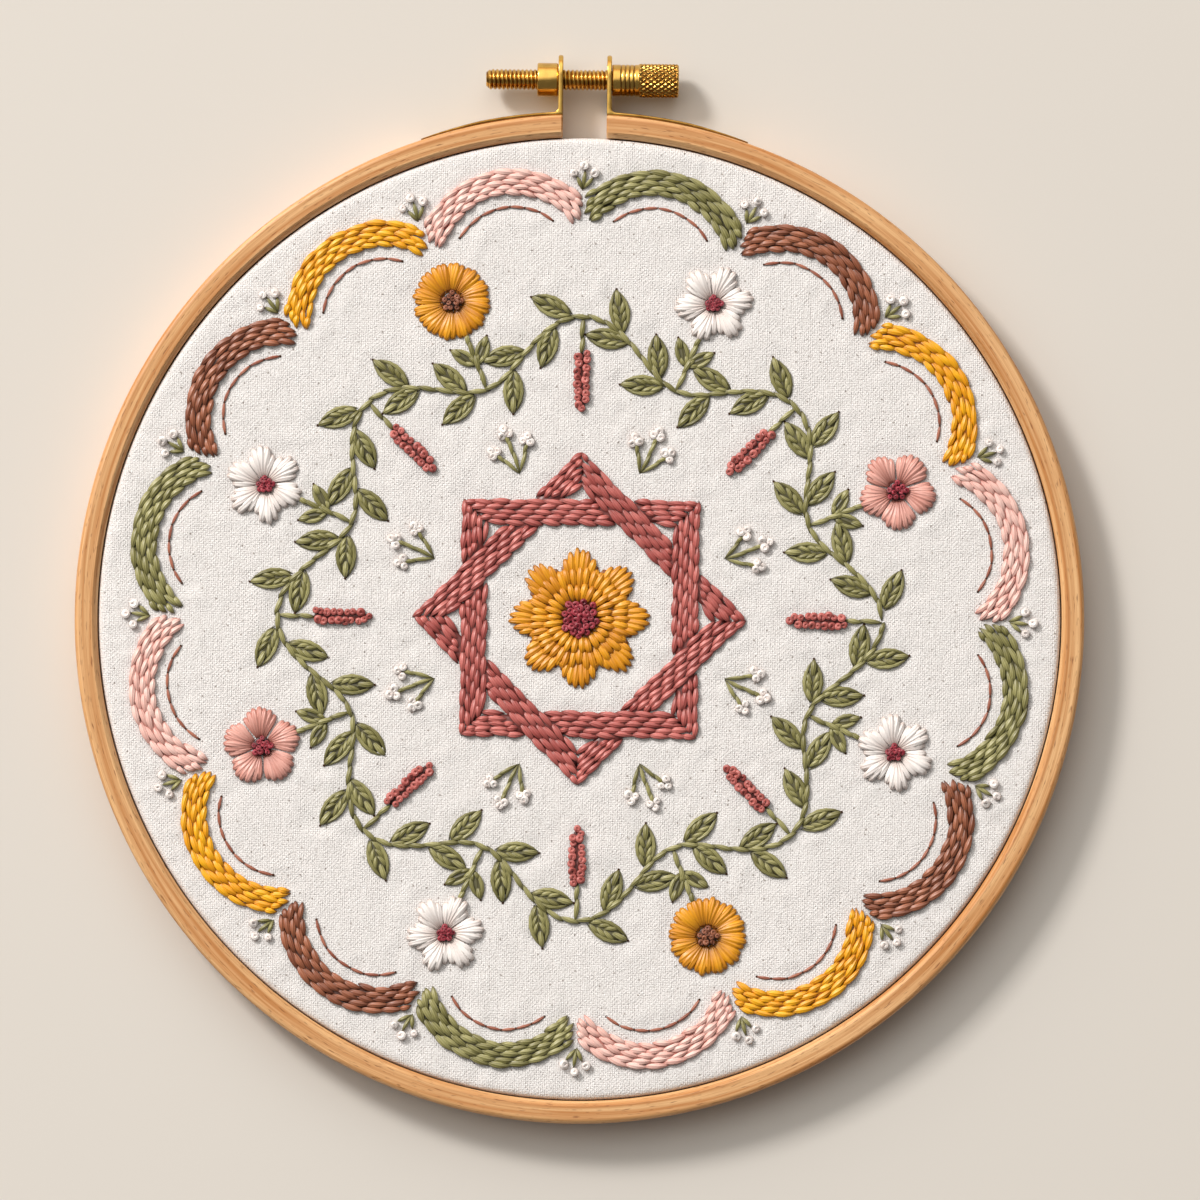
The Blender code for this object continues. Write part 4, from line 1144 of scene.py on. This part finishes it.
THREAD_PITCH = 0.87
THREAD_R = 2.15
THREAD_ROOT_R = 1.85
ROD_TIP_R = 1.45
ROD_ROWS = 350
ROD_COLUMNS = 48
HEAD_COLUMNS = 200
COLLAR_R = 3.3
COLLAR_LENGTH = 5.6
COLLAR_GROOVES = (1.9, 2.8, 3.7, 4.6)
COLLAR_GROOVE_DEPTH = 0.13
GRIP_TEETH = 20
GRIP_TOOTH_LENGTH = 1.5
KNURL_DEPTH = 0.34
GRIP_ROUND = 0.5
low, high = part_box("thumb_screw")
ROD_END = low.x / MM
HEAD_END = high.x / MM
GRIP_R = (high.z - low.z) / 2 / MM

head_start = LUG_INSIDE + LUG_THICKNESS + LUG_CLEARANCE
x = np.linspace(ROD_END, head_start + 1, ROD_ROWS)
angle = np.linspace(0, TURN, ROD_COLUMNS + 1)
# The helix is a cosine that moves on by one pitch in a turn, and the rod's end is turned to a point.
phase = x[:, None] / THREAD_PITCH - angle[None, :] / TURN
crest = (0.5 + 0.5 * np.cos(TURN * phase)) ** 0.8
r = THREAD_ROOT_R + (THREAD_R - THREAD_ROOT_R) * crest
r = np.minimum(r, ROD_TIP_R + 0.8 * (x[:, None] - ROD_END))
# Painted shade in the thread's roots.
groove = np.clip(1 - crest * 1.6, 0, 1) * 0.8
x, r, groove = (np.concatenate([v[:1], v, v[-1:]]) for v in (x, r, groove))
r[0], r[-1] = 0, 0
rod = turned_about_screw(x, r, ROD_COLUMNS)

body_x = np.arange(0.3, COLLAR_LENGTH, 0.1)
cuts = sum(np.exp(-(((body_x - groove_x) / 0.14) ** 2)) for groove_x in COLLAR_GROOVES)
grip_x = np.arange(COLLAR_LENGTH + 0.05, HEAD_END - head_start - GRIP_ROUND, 0.12)
knurl = np.clip((grip_x - grip_x[0]) / 0.5, 0, 1)
end = np.linspace(0, math.pi / 2, 6)
end_x = HEAD_END - head_start - GRIP_ROUND * (1 - np.sin(end))
end_r = GRIP_R - GRIP_ROUND * (1 - np.cos(end))
# One row for each stretch of the head, from its face by the lug to the dimple in its end: places along the
# screw, radius, share of the knurl and share of the grooves' painted shade.
stretches = (
    ([0, 0, 0.04, 0.15], [0, 3, 3.16, 3.27], 0, 0),
    (body_x, COLLAR_R - COLLAR_GROOVE_DEPTH * cuts, 0, np.clip(cuts, 0, 1)),
    (grip_x, GRIP_R, knurl, 0),
    (end_x, end_r, np.linspace(1, 0, len(end_x)) * 0.8, 0),
    (HEAD_END - head_start - np.array([0, 0.25, 0.3]), [1.4, 1.1, 0], 0, 0),
)
x, r, rough, groove_shade = (
    np.concatenate([np.broadcast_to(row[i], len(row[0])) for row in stretches]) for i in range(4)
)
angle = np.linspace(0, TURN, HEAD_COLUMNS + 1)
# Two families of slanting furrows cross, and leave a diamond where both are shallow.
one = GRIP_TEETH * angle[None, :] / TURN + x[:, None] / GRIP_TOOTH_LENGTH
other = GRIP_TEETH * angle[None, :] / TURN - x[:, None] / GRIP_TOOTH_LENGTH
point = np.minimum(*(1 - abs(2 * (v % 1) - 1) for v in (one, other)))
hollow = rough[:, None] * (1 - np.clip(point * 1.35, 0, 1))
head = turned_about_screw(head_start + x, r[:, None] - KNURL_DEPTH * hollow, HEAD_COLUMNS)
# Painted shade in the knurl's hollows and the collar's grooves.
shade = 0.75 * np.clip(hollow + groove_shade[:, None], 0, 1)
for name, points, dark in (("screw_rod", rod, groove[None]), ("screw_head", head, shade[None])):
    add_piece(name, points, brass, "clamp_brass", ["thumb_screw"], body="screw", sharp=60, groove=dark)


# ---- floor and light ----
# A plain pale floor under the hoop. A soft lamp stands at the upper left, as the shadows in the picture say,
# in front of a wide window, and the rest of the room is dim, so that the brass has something dark to mirror.

FLOOR_SIDE = 6
KEY_PLACE = Vector((-1.7, 1.75, 1.9))
KEY_SIDE = 0.62
KEY_WATTS = 67
WINDOW = Vector((-0.4, 0.75, 0.6)).normalized()

floor_finish = new_finish("pale_floor", {"Base Color": "DAD6CF", "Roughness": 0.8})[0]
half = FLOOR_SIDE / 2
corners = [(-half, -half, 0), (half, -half, 0), (half, half, 0), (-half, half, 0)]
floor_mesh = bpy.data.meshes.new("floor")
floor_mesh.from_pydata(corners, [], [(0, 1, 2, 3)])
floor_mesh.materials.append(floor_finish)
floor = bpy.data.objects.new("floor", floor_mesh)
bpy.context.scene.collection.objects.link(floor)
floor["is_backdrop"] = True

lamp = bpy.data.lights.new("key", "AREA")
lamp.size = KEY_SIDE
lamp.energy = KEY_WATTS
lamp.color = linear("FFF9F4")[:3]
key = bpy.data.objects.new("key", lamp)
key.location = KEY_PLACE
key.rotation_mode = "QUATERNION"
key.rotation_quaternion = (-KEY_PLACE).to_track_quat("-Z", "Y")
bpy.context.scene.collection.objects.link(key)

room = bpy.data.worlds.new("room")
room.use_nodes = True
direction = add_node(room, "TexCoord", {})["Object"]
height = add_node(room, "SeparateXYZ", {"Vector": direction})["Z"]
above = add_node(room, "MapRange", {"Value": height, "From Min": 0.0, "From Max": 0.5})[0]
walls = add_node(room, "Mix", {0: above, 6: "B08A66", 7: "F2EEE9"}, data_type="RGBA")[2]
towards = add_node(room, "VectorMath", {0: direction, 1: WINDOW}, operation="DOT_PRODUCT")["Value"]
window_range = {"Value": towards, "From Min": 0.5, "From Max": 0.82, "To Min": 0.2, "To Max": 1.9}
window = add_node(room, "MapRange", window_range, interpolation_type="SMOOTHSTEP")[0]
set_inputs(room, room.node_tree.nodes["Background"], {"Color": walls, "Strength": window})
bpy.context.scene.world = room
bpy.context.scene.view_settings.view_transform = "Standard"

sizes = {"cad": cad_box, "visual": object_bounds()}
{name: [list(corner) for corner in box] for name, box in sizes.items()}
